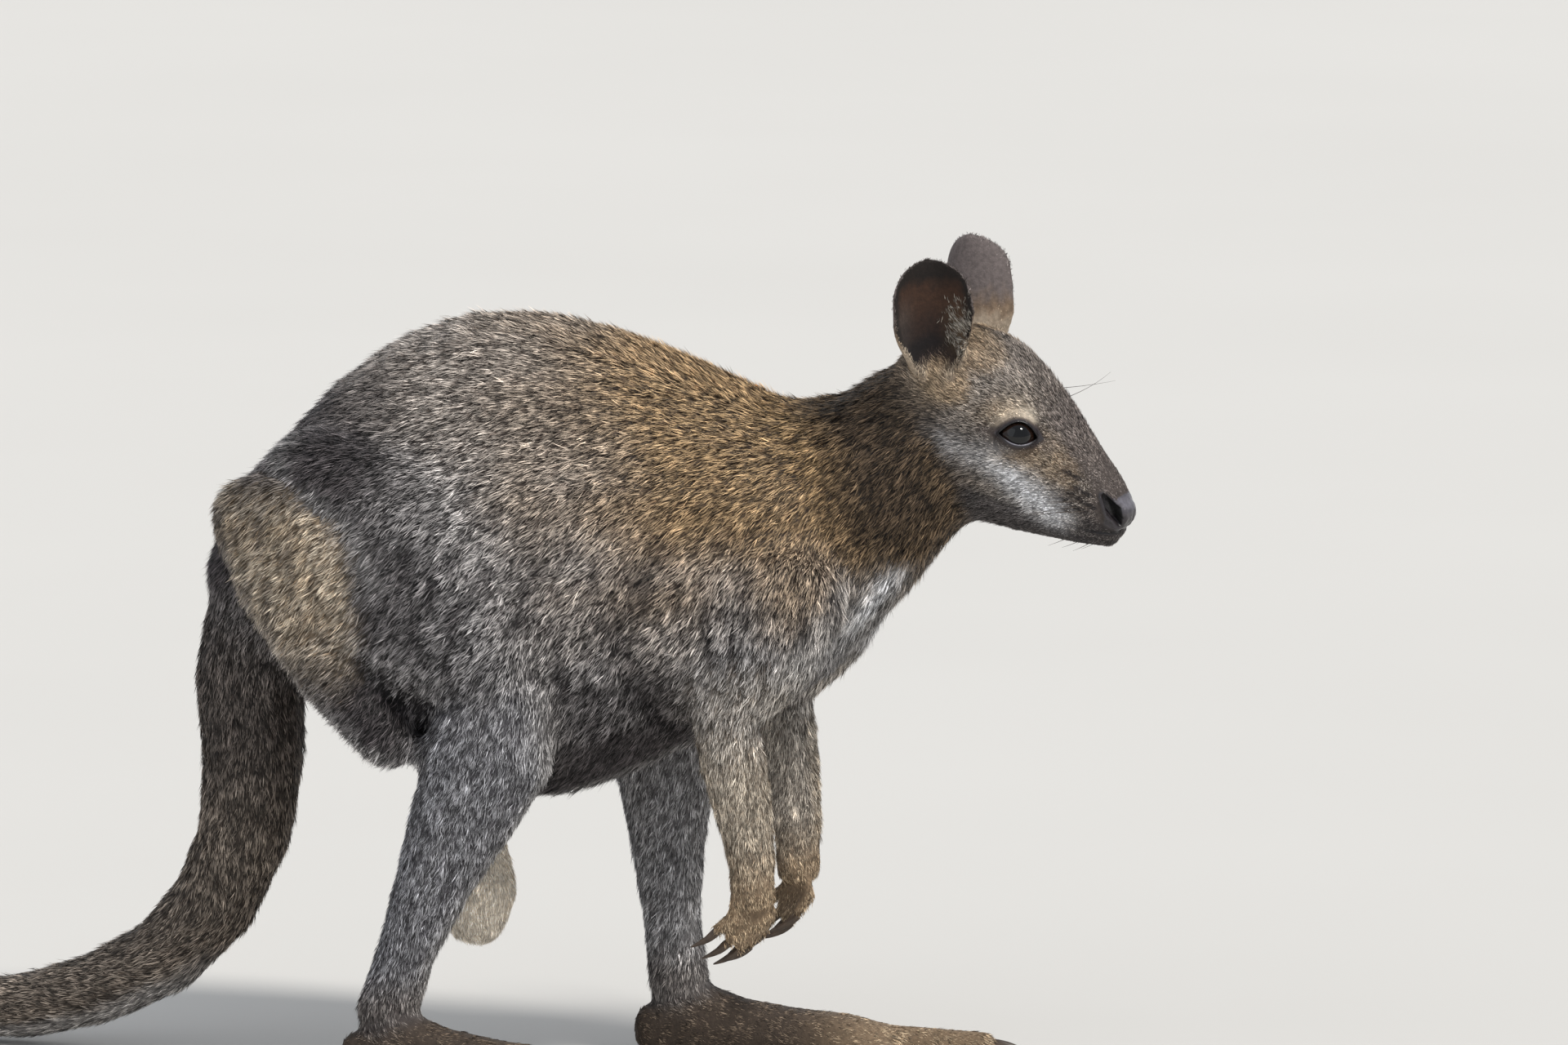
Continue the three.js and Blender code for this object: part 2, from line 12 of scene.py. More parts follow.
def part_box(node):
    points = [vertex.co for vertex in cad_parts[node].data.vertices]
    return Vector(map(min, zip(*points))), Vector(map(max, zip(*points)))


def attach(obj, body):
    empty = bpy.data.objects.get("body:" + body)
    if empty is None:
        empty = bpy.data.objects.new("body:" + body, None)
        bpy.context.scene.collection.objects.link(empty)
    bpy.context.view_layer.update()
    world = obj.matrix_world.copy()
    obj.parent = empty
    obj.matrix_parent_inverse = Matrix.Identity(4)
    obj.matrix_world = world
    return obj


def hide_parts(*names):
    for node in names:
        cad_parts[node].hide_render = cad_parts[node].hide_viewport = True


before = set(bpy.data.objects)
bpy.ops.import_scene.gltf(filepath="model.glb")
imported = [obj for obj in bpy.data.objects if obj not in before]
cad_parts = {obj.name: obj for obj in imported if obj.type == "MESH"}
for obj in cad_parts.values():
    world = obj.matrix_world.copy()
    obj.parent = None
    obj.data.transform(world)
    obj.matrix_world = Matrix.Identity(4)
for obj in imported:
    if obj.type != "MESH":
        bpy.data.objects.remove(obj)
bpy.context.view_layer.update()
SIDES = (1, -1)  # of the animal: the right one is 1
rng = np.random.default_rng(1848)

# ---- measures, in millimetres
VOXEL = 1.9  # the skin's mesh before the head is refined
GROWN, HAND_GROWN = 0.45, -0.25  # what the solids are grown by first, so that neighbours join
SKIN_FLOOR, COAT_FLOOR = 0.4, 0.2  # the lowest that skin and hair come
HEAD_TURN = (-4.0, 30.5, -3.0)  # yaw, pitch and roll of the head, in degrees

# Eyes. Places on the head are told from the nose tip: back, to the animal's right and up.
EYE_PLACE = np.array([75.5, 24.0, 7.0])
EYE_RADIUS = 11.5
CORNEA_BULGE = 0.9  # how far the front of the ball stands out
EYE_OUT = (-0.34, 1.0, 0.44)  # the way the eye looks
EYE_ALONG = (-20.0, -9.4, 7.8)  # from the back corner of the lids to the front one
LID_HALF_LENGTH = 10.7
LID_ABOVE, LID_BELOW = 7.3, 5.0  # the opening's height over and under the line between its corners
LID_THICKNESS = 0.9
LID_SOFTNESS = 2.2  # how far the lids run out into the face
SOCKET_DEPTH = 2.0

# Ears.
EAR_ROOT = np.array([136.0, 24.0, 12.0])
EAR_TURN = (-9.0, -1.0, 66.0)
EAR_LENGTH = 70.0
EAR_HALF_WIDTH = 23.5
# from root to tip: place, share of the half width, half angle that the cup goes round
EAR_CUP = np.array([[0.0, 0.5, 160], [0.16, 0.68, 135], [0.32, 0.9, 100], [0.55, 1.0, 78],
                    [0.76, 0.95, 72], [0.88, 0.77, 68], [1.0, 0.3, 64]])
EAR_WIDER = 0.055  # what smoothing takes from an ear's width, as a share
EAR_TALLER = {1: -1.0, -1: 1.6}  # what the right ear (1) and the left one (-1) are then drawn out by

# The nostril's middle line and its radius: back, up, radius.
NOSTRIL = np.array([[18.2, 2.2, 0.9], [12.6, -0.8, 2.7], [8.2, -3.3, 4.1], [5.0, -5.8, 2.8],
                    [3.4, -8.4, 1.1]])
NOSTRIL_DEPTH = 7.0
NOSTRIL_WAY = np.array([0.85, -0.5, 0.1])  # the way it goes in, on the right side
MOUTH = np.array([[-1.0, 0.0, -11.0], [1.5, 6.5, -12.3], [4.0, 11.0, -14.0], [11.2, 14.0, -17.7],
                  [20.2, 15.5, -19.8], [29.4, 17.0, -22.2], [37.0, 19.0, -23.6]])
MOUTH_DEPTH = 1.5
LIP_GROOVE_DEPTH = 0.9  # the groove from the nose down to the lip
# The middle of the pale stripe on the cheek: back and up.
CHEEK_LINE = np.array([[25, -21.0], [31, -20.5], [44, -18.5], [57, -15.5], [74, -9.0], [95, -12.5],
                       [115, -16.0]])
# Whiskers: their roots (back and up), shortest and longest, and the way they point.
WHISKER_ROOTS = np.array([[40.0, 4.0], [34.5, 3.8], [31.2, -1.2], [25.6, -1.4], [33.0, -5.4], [26.6, -5.6],
                          [33.9, -10.2], [28.0, -11.0], [22.6, -10.5], [30.7, -15.0], [20.4, -6.2]])
BROW_ROOTS = ((72, 25), (79, 27))
CHIN_ROOTS = ((12, -26), (18, -29), (8, -22), (24, -30))
WHISKERS = ((WHISKER_ROOTS, 24, 38, (0.65, 0.9, -0.35)),
            (BROW_ROOTS, 30, 40, (-0.75, 0.45, 0.75)),
            (CHIN_ROOTS, 9, 14, (0.55, 0.3, -1.0)))
WHISKER_TIP, WHISKER_TAPER = 0.05, 0.17  # the radius at the tip, and what the root has more
WHISKER_STEPS = 6

CLAW_ROOT = 2.6  # how deep a claw's root is set in
# The front edge of the swelling behind the thigh, seen from the side: height and x.
HAUNCH_EDGE = np.array([[150, -92], [200, -84], [238, -79], [262, -77], [285, -80.6], [298, -84],
                        [318, -93], [328, -107], [340, -121], [345, -140]])
HAUNCH_TOP = 345
HAUNCH_HEIGHT = 3.0
# The back edge of the upper arm, seen from the side: height and x.
ARM_EDGE = np.array([[195, 96], [205, 89], [230, 79], [258, 74], [282, 77], [300, 85], [318, 100]])
ARM_CREASE_DEPTH = 4.5
ARM_SWELL_HEIGHT = 2.4

# Each region of the coat: its colour, coat depth, smoothing, hair length, lift in degrees, blades on
# a square mm and blade width.
COLOUR, DEPTH, SMOOTHING, LENGTH, LIFT, DENSITY, WIDTH = range(7)
COAT = {
    "head": ("face", 2.2, 0.30, 5.0, 20, 4.0, 0.36),
    "ear": ("ear_back", 0.4, 0.30, 1.9, 9, 3.8, 0.30),
    "neck": ("neck", 4.6, 0.90, 8.6, 25, 1.80, 0.46),
    "trunk": ("back", 3.8, 1.00, 8.8, 23, 1.40, 0.47),
    "upper_arm": ("flank", 3.6, 0.50, 8.8, 22, 1.5, 0.47),
    "forearm": ("forearm", 2.0, 0.30, 6.5, 18, 2.0, 0.42),
    "hand": ("hand", 0.8, 0.08, 4.0, 12, 2.5, 0.38),
    "thigh": ("flank", 3.8, 0.80, 8.8, 23, 1.40, 0.47),
    "shank": ("shank", 2.4, 0.35, 7.0, 16, 1.4, 0.46),
    "foot": ("foot", 1.0, 0.12, 4.0, 10, 1.6, 0.44),
    "tail": ("tail", 2.4, 0.70, 7.8, 15, 0.94, 0.58),
    "scrotum": ("cream", 2.0, 1.00, 5.5, 16, 1.7, 0.46),
}
REGIONS = tuple(COAT)
HEAD, EAR, SCROTUM = (REGIONS.index(r) for r in ("head", "ear", "scrotum"))
BLADES = 3  # in a tuft
BLADE_FACES = np.array([[0, 2, 1], [1, 2, 3]])
ROOT_DEPTH = 0.4  # how deep a blade's root lies in the skin
PATCH = 0.003  # the side of a tuft's patch on the unwrap
DARK_BELOW, LIGHT_ABOVE = 0.38, 0.66  # which of the numbers from 0 to 1 make a tuft dark or light
PIECES = {
    "head": ("head",), "ears": ("ear",), "neck": ("neck",), "arms": ("upper_arm", "forearm", "hand"),
    "trunk": ("trunk",), "thighs": ("thigh",), "legs": ("shank", "foot"), "tail": ("tail", "scrotum"),
}
MOST_TRIANGLES = 190000  # in a piece of the coat

CAMERA_AZIMUTH, CAMERA_ELEVATION = 14.0, 8.0
CAMERA_DISTANCE = 9.0  # in metres
PICTURE_WIDTH = 0.8727  # what the picture takes in at the animal, in metres
PICTURE_CENTRE = (136.4, 306.8, 74.0)  # right, up and toward the camera from BODY_ORIGIN
SENSOR_WIDTH = 36.0
FLOOR_RADIUS, FLOOR_SIDES = 60, 96
# Suns: toward the camera's right, toward the camera and up; strength, softness in degrees, colour.
SUNS = {
    "key": ((0.55, 0.55, 1.0), 2.75, 12, (1.0, 0.97, 0.92)),
    "fill": ((-0.9, 0.8, 0.6), 0.35, 60, (0.92, 0.96, 1.0)),
    "behind": ((-0.3, -1.0, 0.8), 0.6, 50, (0.96, 0.98, 1.0)),
}
SKY_COLOUR, SKY_STRENGTH = (0.88, 0.93, 1.0, 1), 0.48


# ---- small helpers
def unit(v):
    v = np.asarray(v, float)
    return v / np.maximum(np.linalg.norm(v, axis=-1, keepdims=True), 1e-9)


def ramp(low, high, value):
    t = np.clip((value - low) / (high - low), 0.0, 1.0)
    return t * t * (3 - 2 * t)


def bump(value, width):
    return np.exp(-((value / width) ** 2))


def turn(axis, degrees):
    return np.array(Matrix.Rotation(math.radians(degrees), 3, axis))


def linear(red, green, blue):
    c = np.array([red, green, blue]) / 255.0
    return np.where(c <= 0.04045, c / 12.92, ((c + 0.055) / 1.055) ** 2.4)


def blend(a, b, share):
    return a + (b - a) * share[:, None]


def along_skin(way, normals):
    return unit(way - normals * (way * normals).sum(1, keepdims=True))


def stacked(x, y, z):
    """Rows of x, y and z, each a column or one number."""
    return np.stack(np.broadcast_arrays(x, y, z), 1)


def waves(points, size, seed, count=7):
    """Smooth noise from -1 to 1, a sum of plane waves about `size` long."""
    own = np.random.default_rng(seed)
    total = np.zeros(len(points))
    for _ in range(count):
        way = unit(own.normal(size=3)) * 2 * math.pi / (size * own.uniform(0.6, 1.5))
        total += np.sin(points @ way + own.uniform(0, 2 * math.pi))
    return total / math.sqrt(count) / 1.4


def middle(node):
    low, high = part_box(node)
    return np.array((low + high) / 2) * 1000


HEAD_AXES = turn("Z", 180 + HEAD_TURN[0]) @ turn("Y", -HEAD_TURN[1]) @ turn("X", HEAD_TURN[2])
NOSE_TIP = (middle("eye_right") + middle("eye_left")) / 2 - HEAD_AXES @ (EYE_PLACE * (1, 0, 1))
BODY_ORIGIN = NOSE_TIP - (343, -6, 328)  # body places are told from here, at about floor level


def in_head(points):
    return (points - NOSE_TIP) @ HEAD_AXES


def folded(at):
    """Places on the head, with the left half laid over the right one."""
    return stacked(at[:, 0], np.abs(at[:, 1]), at[:, 2])


def region_of(node):
    for region in REGIONS:
        if node.startswith(region):
            return region
    return {"lower_jaw": "head", "nose": "head"}.get(node)


def flesh_nodes():
    return [n for n in sorted(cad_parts) if region_of(n)]


# ---- mesh arrays
def read(rows, key, width, kind=np.float32):
    """One property of all rows of a mesh, `width` numbers to a row."""
    values = np.empty(len(rows) * width, kind)
    rows.foreach_get(key, values)
    return values.reshape(-1, width)


def arrays(mesh):
    """Points and triangles."""
    mesh.calc_loop_triangles()
    return read(mesh.vertices, "co", 3).astype(float), read(mesh.loop_triangles, "vertices", 3, np.int32)


def edges_of(mesh):
    return read(mesh.edges, "vertices", 2, np.int32)


class Neighbours:
    """Mean over the neighbours of each vertex."""

    def __init__(self, pairs, count):
        here = np.concatenate([pairs[:, 0], pairs[:, 1]])
        there = np.concatenate([pairs[:, 1], pairs[:, 0]])
        order = np.argsort(here, kind="stable")
        self.there = there[order]
        self.number = np.bincount(here, minlength=count)
        self.start = np.concatenate([[0], np.cumsum(self.number)[:-1]])

    def mean(self, values):
        return np.add.reduceat(values[self.there], self.start, axis=0) / self.number[:, None]

    def smooth(self, values, share, rounds):
        for _ in range(rounds):
            values = values + share * (self.mean(values) - values)
        return values


def normals_of(points, triangles):
    a, b, c = (points[triangles[:, i]] for i in range(3))
    face = np.cross(b - a, c - a)
    total = np.zeros_like(points)
    for i in range(3):
        for axis in range(3):
            total[:, axis] += np.bincount(triangles[:, i], face[:, axis], len(points))
    return unit(total)


def new_object(name, data):
    thing = bpy.data.objects.new(name, data)
    bpy.context.scene.collection.objects.link(thing)
    return thing


def shade_smooth(mesh):
    mesh.polygons.foreach_set("use_smooth", [True] * len(mesh.polygons))


def mesh_from(name, points, faces):
    mesh = bpy.data.meshes.new(name)
    mesh.from_pydata(points, [], faces)
    mesh.update()
    return mesh


def fast_mesh(name, points, triangles):
    mesh = bpy.data.meshes.new(name)
    mesh.vertices.add(len(points))
    mesh.vertices.foreach_set("co", points.astype(np.float32).ravel())
    mesh.loops.add(len(triangles) * 3)
    mesh.loops.foreach_set("vertex_index", triangles.astype(np.int32).ravel())
    mesh.polygons.add(len(triangles))
    mesh.polygons.foreach_set("loop_start", np.arange(0, len(triangles) * 3, 3, dtype=np.int32))
    mesh.update(calc_edges=True)
    return mesh


def modified(mesh, kind, **settings):
    """The mesh after one modifier."""
    rough = new_object("rough", mesh)
    modifier = rough.modifiers.new("once", kind)
    for key, value in settings.items():
        setattr(modifier, key, value)
    graph = bpy.context.evaluated_depsgraph_get()
    made = bpy.data.meshes.new_from_object(rough.evaluated_get(graph))
    bpy.data.objects.remove(rough)
    return made


def joined(parts):
    """The points and faces of several meshes as those of one."""
    points, faces = [], []
    for more, its_faces in parts:
        faces += [[i + len(points) for i in face] for face in its_faces]
        points += more
    return points, faces


# ---- the bare form
def grown_node(node, amount):
    """A welded copy of a node, pushed out along its normals so that neighbours join."""
    work = bmesh.new()
    work.from_mesh(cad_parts[node].data)
    bmesh.ops.remove_doubles(work, verts=work.verts, dist=1e-6)
    bmesh.ops.triangulate(work, faces=work.faces)
    work.normal_update()
    for vertex in work.verts:
        vertex.co += vertex.normal * amount / 1000
    points = [vertex.co[:] for vertex in work.verts]
    faces = [[v.index for v in face.verts] for face in work.faces]
    work.free()
    return points, faces


def bare_form():
    """All flesh nodes in one closed mesh of even squares, in metres."""
    parts = [grown_node(node, HAND_GROWN if region_of(node) == "hand" else GROWN)
             for node in flesh_nodes() + ["eye_right", "eye_left"]]
    return modified(mesh_from("lump", *joined(parts)), "REMESH", mode="VOXEL", voxel_size=VOXEL / 1000)


def solid(node):
    """A node's points in millimetres and its triangles, as lists."""
    points, triangles = arrays(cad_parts[node].data)
    return (points * 1000).tolist(), triangles.tolist()


def node_finder():
    """A tree over the solids, and the region of each of its triangles."""
    parts = {node: solid(node) for node in flesh_nodes()}
    owner = [REGIONS.index(region_of(node)) for node, (_, faces) in parts.items() for _ in faces]
    return BVHTree.FromPolygons(*joined(parts.values())), np.array(owner)


def against_solids(points, tree, owner):
    """The region of the nearest solid, and how deep below its surface each point lies."""
    found = [tree.find_nearest(p) for p in points.tolist()]
    there = np.array([hit[0][:] for hit in found])
    out = np.array([hit[1][:] for hit in found])
    return owner[[hit[2] for hit in found]], ((there - points) * out).sum(1)


def set_points(mesh, points):
    mesh.vertices.foreach_set("co", (points / 1000).astype(np.float32).ravel())
    mesh.update()


def refine(mesh, wanted):
    """Splits the faces whose middle `wanted` picks, each into four."""
    work = bmesh.new()
    work.from_mesh(mesh)
    centres = np.array([face.calc_center_median()[:] for face in work.faces]) * 1000
    picked = wanted(centres)
    edges = {edge for face, take in zip(work.faces, picked) if take for edge in face.edges}
    bmesh.ops.subdivide_edges(work, edges=list(edges), cuts=1, use_grid_fill=True)
    work.to_mesh(mesh)
    work.free()


def near_face(centres):
    x, y, z = in_head(centres).T
    return (x > -20) & (x < 118) & (np.abs(y) < 60) & (z > -50) & (z < 62)


def near_eyes(centres):
    at = in_head(centres)
    away = np.hypot(at[:, 0] - EYE_PLACE[0], at[:, 2] - EYE_PLACE[2] - 4)
    return near_face(centres) & (away < 18) & (np.abs(at[:, 1]) > 14)


def near_features(centres):
    return near_eyes(centres) | (near_face(centres) & (in_head(centres)[:, 0] < 28))


# ---- eyes, nose and mouth in the skin
def eye_axes(side):
    """Rows: toward the front corner, up, and out of the head, for the eye on `side` (1 is right)."""
    mirror = np.array([1.0, side, 1.0])
    out = unit(np.array(EYE_OUT) * mirror)
    along = np.array(EYE_ALONG) * mirror
    along = unit(along - out * (along @ out))
    return np.array([along, np.cross(out, along) * side, out])


def at_eye(at, side):
    """Places at the eye on `side`: along to the front corner, up, and out of the head."""
    return ((at - EYE_PLACE * (1, side, 1)) @ eye_axes(side).T).T


def lid_distance(a, b):
    """Distance outside the opening between the lids, from the place along and above."""
    fall = 1 - (a / LID_HALF_LENGTH) ** 2
    slope = -2 * a / LID_HALF_LENGTH ** 2
    upper = (b - LID_ABOVE * fall) / np.sqrt(1 + (LID_ABOVE * slope) ** 2)
    lower = (-b - LID_BELOW * fall) / np.sqrt(1 + (LID_BELOW * slope) ** 2)
    return np.maximum(upper, lower)


def sculpt_lids(at, normal, side):
    out = eye_axes(side)[2]
    a, b, height = at_eye(at, side)
    reach = np.hypot(a, b)
    gap = lid_distance(a, b)
    over = np.sqrt(np.maximum((EYE_RADIUS + LID_THICKNESS) ** 2 - reach ** 2, 0.0))
    lid = np.maximum(height, over) + LID_SOFTNESS * np.exp(-np.abs(height - over) / LID_SOFTNESS) * 0.35
    lid += 0.35 * bump(gap - 0.9, 0.8)  # its rim
    lid -= np.where(b > 0, 0.7, 0.45) * bump(gap - 3.4, 0.8)  # the fold beside it
    socket = np.sqrt(np.maximum(EYE_RADIUS ** 2 - reach ** 2, 0.0)) - SOCKET_DEPTH
    inside = ramp(0.25, -0.35, gap)
    wanted = lid * (1 - inside) + socket * inside
    share = ramp(22, 15, reach) * ((reach < 24) & (height > -6) & (normal @ out > 0.15))
    return at + (share * (wanted - height))[:, None] * out


def to_path(points, path):
    """Distance to a line through `path`, and the place along it from 0 to 1."""
    best = np.full(len(points), 1e9)
    where = np.zeros(len(points))
    for i in range(len(path) - 1):
        span = path[i + 1] - path[i]
        t = np.clip((points - path[i]) @ span / (span @ span), 0, 1)
        away = np.linalg.norm(points - path[i] - t[:, None] * span, axis=1)
        closer = away < best
        best = np.where(closer, away, best)
        where = np.where(closer, (i + t) / (len(path) - 1), where)
    return best, where


def nostril_depth(at, side):
    """1 deep in the nostril to 0 at its rim, distance outside the rim, and which places count."""
    flat = at[:, [0, 2]]
    away, where = to_path(flat, NOSTRIL[:, :2])
    radius = np.interp(where, np.linspace(0, 1, len(NOSTRIL)), NOSTRIL[:, 2])
    on_side = (at[:, 1] * side > 3) & (at[:, 0] < 22)
    return ramp(1.0, 0.5, away / radius) * on_side, (away - radius), on_side


def mouth_distance(at):
    return to_path(folded(at), MOUTH)


def sculpt_snout(at, normal):
    for side in SIDES:
        deep, beyond, on_side = nostril_depth(at, side)
        at = at + (NOSTRIL_DEPTH * deep)[:, None] * unit(NOSTRIL_WAY * (1, side, 1))
        behind = ramp(6, 12, at[:, 0])
        at = at + ((0.6 + 0.8 * behind) * bump(beyond - 1.0, 1.0) * on_side)[:, None] * normal
    away, where = mouth_distance(at)
    at = at - (MOUTH_DEPTH * bump(away, 0.95) * ramp(1.0, 0.85, where))[:, None] * normal
    groove = bump(at[:, 1], 0.8) * ramp(8, 2, at[:, 0]) * ramp(-12, -9, at[:, 2]) * ramp(2, -3, at[:, 2])
    return at - (LIP_GROOVE_DEPTH * groove)[:, None] * normal


# ---- ears
def ear_axes(side):
    """Columns: into the ear's hollow, across it and up its length, for the ear on `side`."""
    s = -side
    return turn("X", EAR_TURN[0] * s) @ turn("Y", EAR_TURN[1]) @ turn("Z", EAR_TURN[2] * s)


def own_ear(share, at, side):
    """The ears' share, on one side of the head only."""
    return share * (at[:, 1] * side > 0)


def fitted_ear(points, own, side):
    """The ear drawn out to its full width and height again, which the smoothing takes from it."""
    _, across, height = in_ear(points, side).T
    _, across_way, up_way = ear_axes(side).T
    wider = EAR_WIDER * across * ramp(6, 30, height) * own
    taller = EAR_TALLER[side] * ramp(30, 66, height) * own
    return points + wider[:, None] * across_way + taller[:, None] * up_way


def in_ear(points, side):
    root = NOSE_TIP + HEAD_AXES @ (EAR_ROOT * (1, side, 1)) - (0, 0, 2)
    return (points - root) @ ear_axes(side)


def ear_place(points, side):
    """Share of the ear's length, and share of its half width round the cup, positive to the front."""
    at = in_ear(points, side)
    t = np.clip(at[:, 2] / EAR_LENGTH, 0, 1.05)
    width = EAR_HALF_WIDTH * np.interp(t, EAR_CUP[:, 0], EAR_CUP[:, 1])
    reach = np.radians(np.interp(t, EAR_CUP[:, 0], EAR_CUP[:, 2]))
    radius = width / np.sin(np.minimum(reach, math.pi / 2))
    angle = np.arctan2(at[:, 1], radius + 5 * t * t - at[:, 0])
    return t, angle / reach * np.sign(ear_axes(side)[0, 1])


def in_hollow(points, normals, side):
    """1 on the inner wall of the ear."""
    at = in_ear(points, side)
    inward = unit(stacked(17.0, 0, at[:, 2]) - at)
    facing = ((normals @ ear_axes(side)) * inward).sum(1)
    return ramp(-0.15, 0.25, facing) * ramp(2, 10, at[:, 2])


# ---- markings
# Each coat colour: the tips, the middle of the hair and its root.
COLOURS = {
    "back": ((220, 209, 199), (84, 74, 68), (28, 24, 22)),
    # the rump's dark coat, also laid on as painted shade under the body, in partings and on sides that face
    # away from the light
    "rump_and_shade": ((90, 83, 85), (18, 15, 16), (9, 8, 9)),
    "rufous": ((216, 180, 130), (78, 57, 37), (25, 18, 13)),
    # the neck's dark coat, darkened further to hold painted shadow from the head
    "neck": ((112, 94, 76), (26, 20, 16), (10, 8, 7)),
    "flank": ((228, 224, 223), (56, 52, 54), (17, 15, 18)),
    "belly": ((214, 212, 210), (164, 161, 160), (100, 97, 97)),
    "haunch": ((244, 230, 208), (170, 149, 124), (66, 54, 44)),
    "forearm": ((222, 210, 192), (166, 152, 135), (88, 76, 66)),
    "hand": ((204, 182, 152), (144, 122, 97), (74, 58, 46)),
    "face": ((200, 189, 178), (78, 69, 62), (34, 29, 27)),
    "brow": ((252, 242, 226), (238, 224, 204), (150, 134, 116)),
    "cheek": ((252, 252, 254), (226, 226, 229), (108, 106, 110)),
    "bridge": ((150, 140, 135), (82, 73, 69), (40, 34, 32)),
    "jaw": ((112, 107, 106), (46, 41, 42), (26, 22, 23)),
    "tan": ((222, 196, 160), (144, 119, 92), (68, 55, 43)),
    "ear_back": ((186, 176, 172), (118, 108, 106), (58, 51, 51)),
    "ear_hollow": ((104, 74, 54), (70, 46, 32), (46, 30, 22)),
    "ear_rim": ((50, 41, 36), (29, 23, 20), (18, 14, 12)),
    # the darkest tone: the dark whisker spots, and painted shade in partings, the crease behind the arm and
    # the ears' hollows
    "deep": ((44, 36, 39), (24, 19, 22), (12, 10, 12)),
    "shank": ((186, 186, 190), (92, 90, 95), (42, 40, 44)),
    "foot": ((130, 114, 98), (72, 60, 50), (36, 29, 25)),
    "tail": ((160, 147, 134), (74, 64, 56), (34, 29, 25)),
    "tail_tip": ((88, 76, 68), (46, 39, 35), (26, 22, 20)),
    "cream": ((252, 245, 233), (240, 229, 212), (206, 190, 168)),
    "bare": ((60, 57, 60), (56, 52, 55), (46, 42, 44)),
    "lid": ((78, 66, 64), (62, 52, 51), (44, 37, 36)),
    # painted sheen and highlights on the nose leather and on the rims of the lower lids
    "painted_sheen": ((150, 148, 158), (140, 138, 148), (120, 116, 126)),
    # lid margins, and painted shade inside the nostrils and between the lips
    "black": ((8, 7, 7), (5, 4, 4), (4, 3, 3)),
}
PALETTE = {name: np.concatenate([linear(*c) for c in rows]) for name, rows in COLOURS.items()}


class Layers:
    """Colours of the palette laid one over another, `within` being the share that takes them."""

    def __init__(self, colour, within=1.0):
        self.colour, self.within = colour, within

    def add(self, name, share):
        self.colour = blend(self.colour, PALETTE[name], np.clip(share, 0, 1) * self.within)


def patch(at, centre, radii):
    """1 at the centre of an oval patch, fading past its edge."""
    away = np.sqrt((((at - centre) / radii) ** 2).sum(1))
    return ramp(1.25, 0.7, away)


def face_marks(colour, at, normals):
    layers = Layers(colour)
    add = layers.add
    half = folded(at)
    x, aside, z = half.T
    along, above, _ = at_eye(half, 1)
    sideways = np.abs(normals @ HEAD_AXES[:, 1])
    patches = waves(at, 9, 41)

    add("tan", 0.60 * patch(half, (120, 20, 36), (20, 18, 14)))
    add("tan", 0.75 * patch(half, (122, 36, 14), (17, 16, 12)))
    muzzle = ramp(28, 40, x) * ramp(72, 56, x) * ramp(-10, 0, z) * ramp(24, 10, z)
    add("tan", 0.42 * muzzle * (1 + 0.3 * patches))
    add("jaw", 0.50 * ramp(70, 100, x) * ramp(8, -12, z) * sideways)
    add("jaw", 0.95 * ramp(-20, -28, z - 0.08 * (30 - x)) * ramp(140, 118, x))
    top = np.interp(x, CHEEK_LINE[:, 0], CHEEK_LINE[:, 1])
    band = bump(z - top + patches, np.interp(x, [22, 45, 75, 100], [6.0, 8.0, 8.0, 7.0]))
    fade = (0.34 + 0.66 * ramp(92, 66, x)) * ramp(128, 105, x)
    add("cheek", 0.95 * band * ramp(17, 38, x - 3 * patches) * fade)
    add("bridge", 0.92 * ramp(-2.5, 4.0, z - 5.0 - 0.52 * (x - 32) + patches) * ramp(82, 58, x))
    add("bridge", 0.50 * ramp(0.70, 0.95, normals @ HEAD_AXES[:, 2]) * ramp(135, 80, x))
    add("brow", bump(above - 13.2 + 0.03 * along ** 2, 5.0) * ramp(-18, -8, along) * ramp(13, 6, along))
    add("tan", 0.55 * bump(above - 15 - 0.25 * along, 6) * bump(along + 9, 12))
    add("tan", 0.60 * bump(above + 12.5, 4.0) * bump(along - 1, 11))
    eyeline = np.hypot((along + 14.5) / 7.5, (above - 0.5 + 0.10 * (along + 14)) / 3.0)
    add("bridge", 0.85 * ramp(1.3, 0.5, eyeline))
    add("bridge", 0.45 * ramp(1.3, 0.5, np.hypot((along - 19) / 7, (above + 4) / 5)))
    ring = lid_distance(along, above)
    near = (np.hypot(along, above) < 22) & (aside > 10)
    add("lid", 0.85 * ramp(4.0, 2.0, ring - 1.3 * ramp(6, 12, along)) * near)
    add("bridge", 0.80 * ramp(26, 18, x) * ramp(-18, -10, z))
    add("jaw", 0.85 * ramp(25, 17, x) * ramp(-9, -14, z))
    for spot in WHISKER_ROOTS:
        away = np.hypot((x - spot[0] + 0.5 * (z - spot[1])) / 3.4, (z - spot[1]) / 1.5)
        add("deep", 0.9 * ramp(1.3, 0.6, away) * (aside > 8))
    return layers.colour


def bare_skin(at):
    """1 on the nose leather, the rims of the lids, the nostrils and the lips."""
    wing = 21.5 - 0.42 * np.abs(at[:, 2] + 1) - 1.3 * np.maximum(at[:, 2], 0)
    bare = ramp(1.2, -0.6, at[:, 0] - wing + 0.035 * at[:, 1] ** 2) * ramp(-13.0, -11.0, at[:, 2])
    for side in SIDES:
        _, beyond, on_side = nostril_depth(at, side)
        bare = np.maximum(bare, ramp(2.2, 0.8, beyond) * on_side)
        a, b, height = at_eye(at, side)
        rim = ramp(2.3, 1.4, lid_distance(a, b) - ramp(7, 11, a)) * (height > -2) * (np.hypot(a, b) < 20)
        bare = np.maximum(bare, rim)
    away, where = mouth_distance(at)
    return np.maximum(bare, ramp(1.5, 0.7, away) * ramp(0.75, 0.5, where))


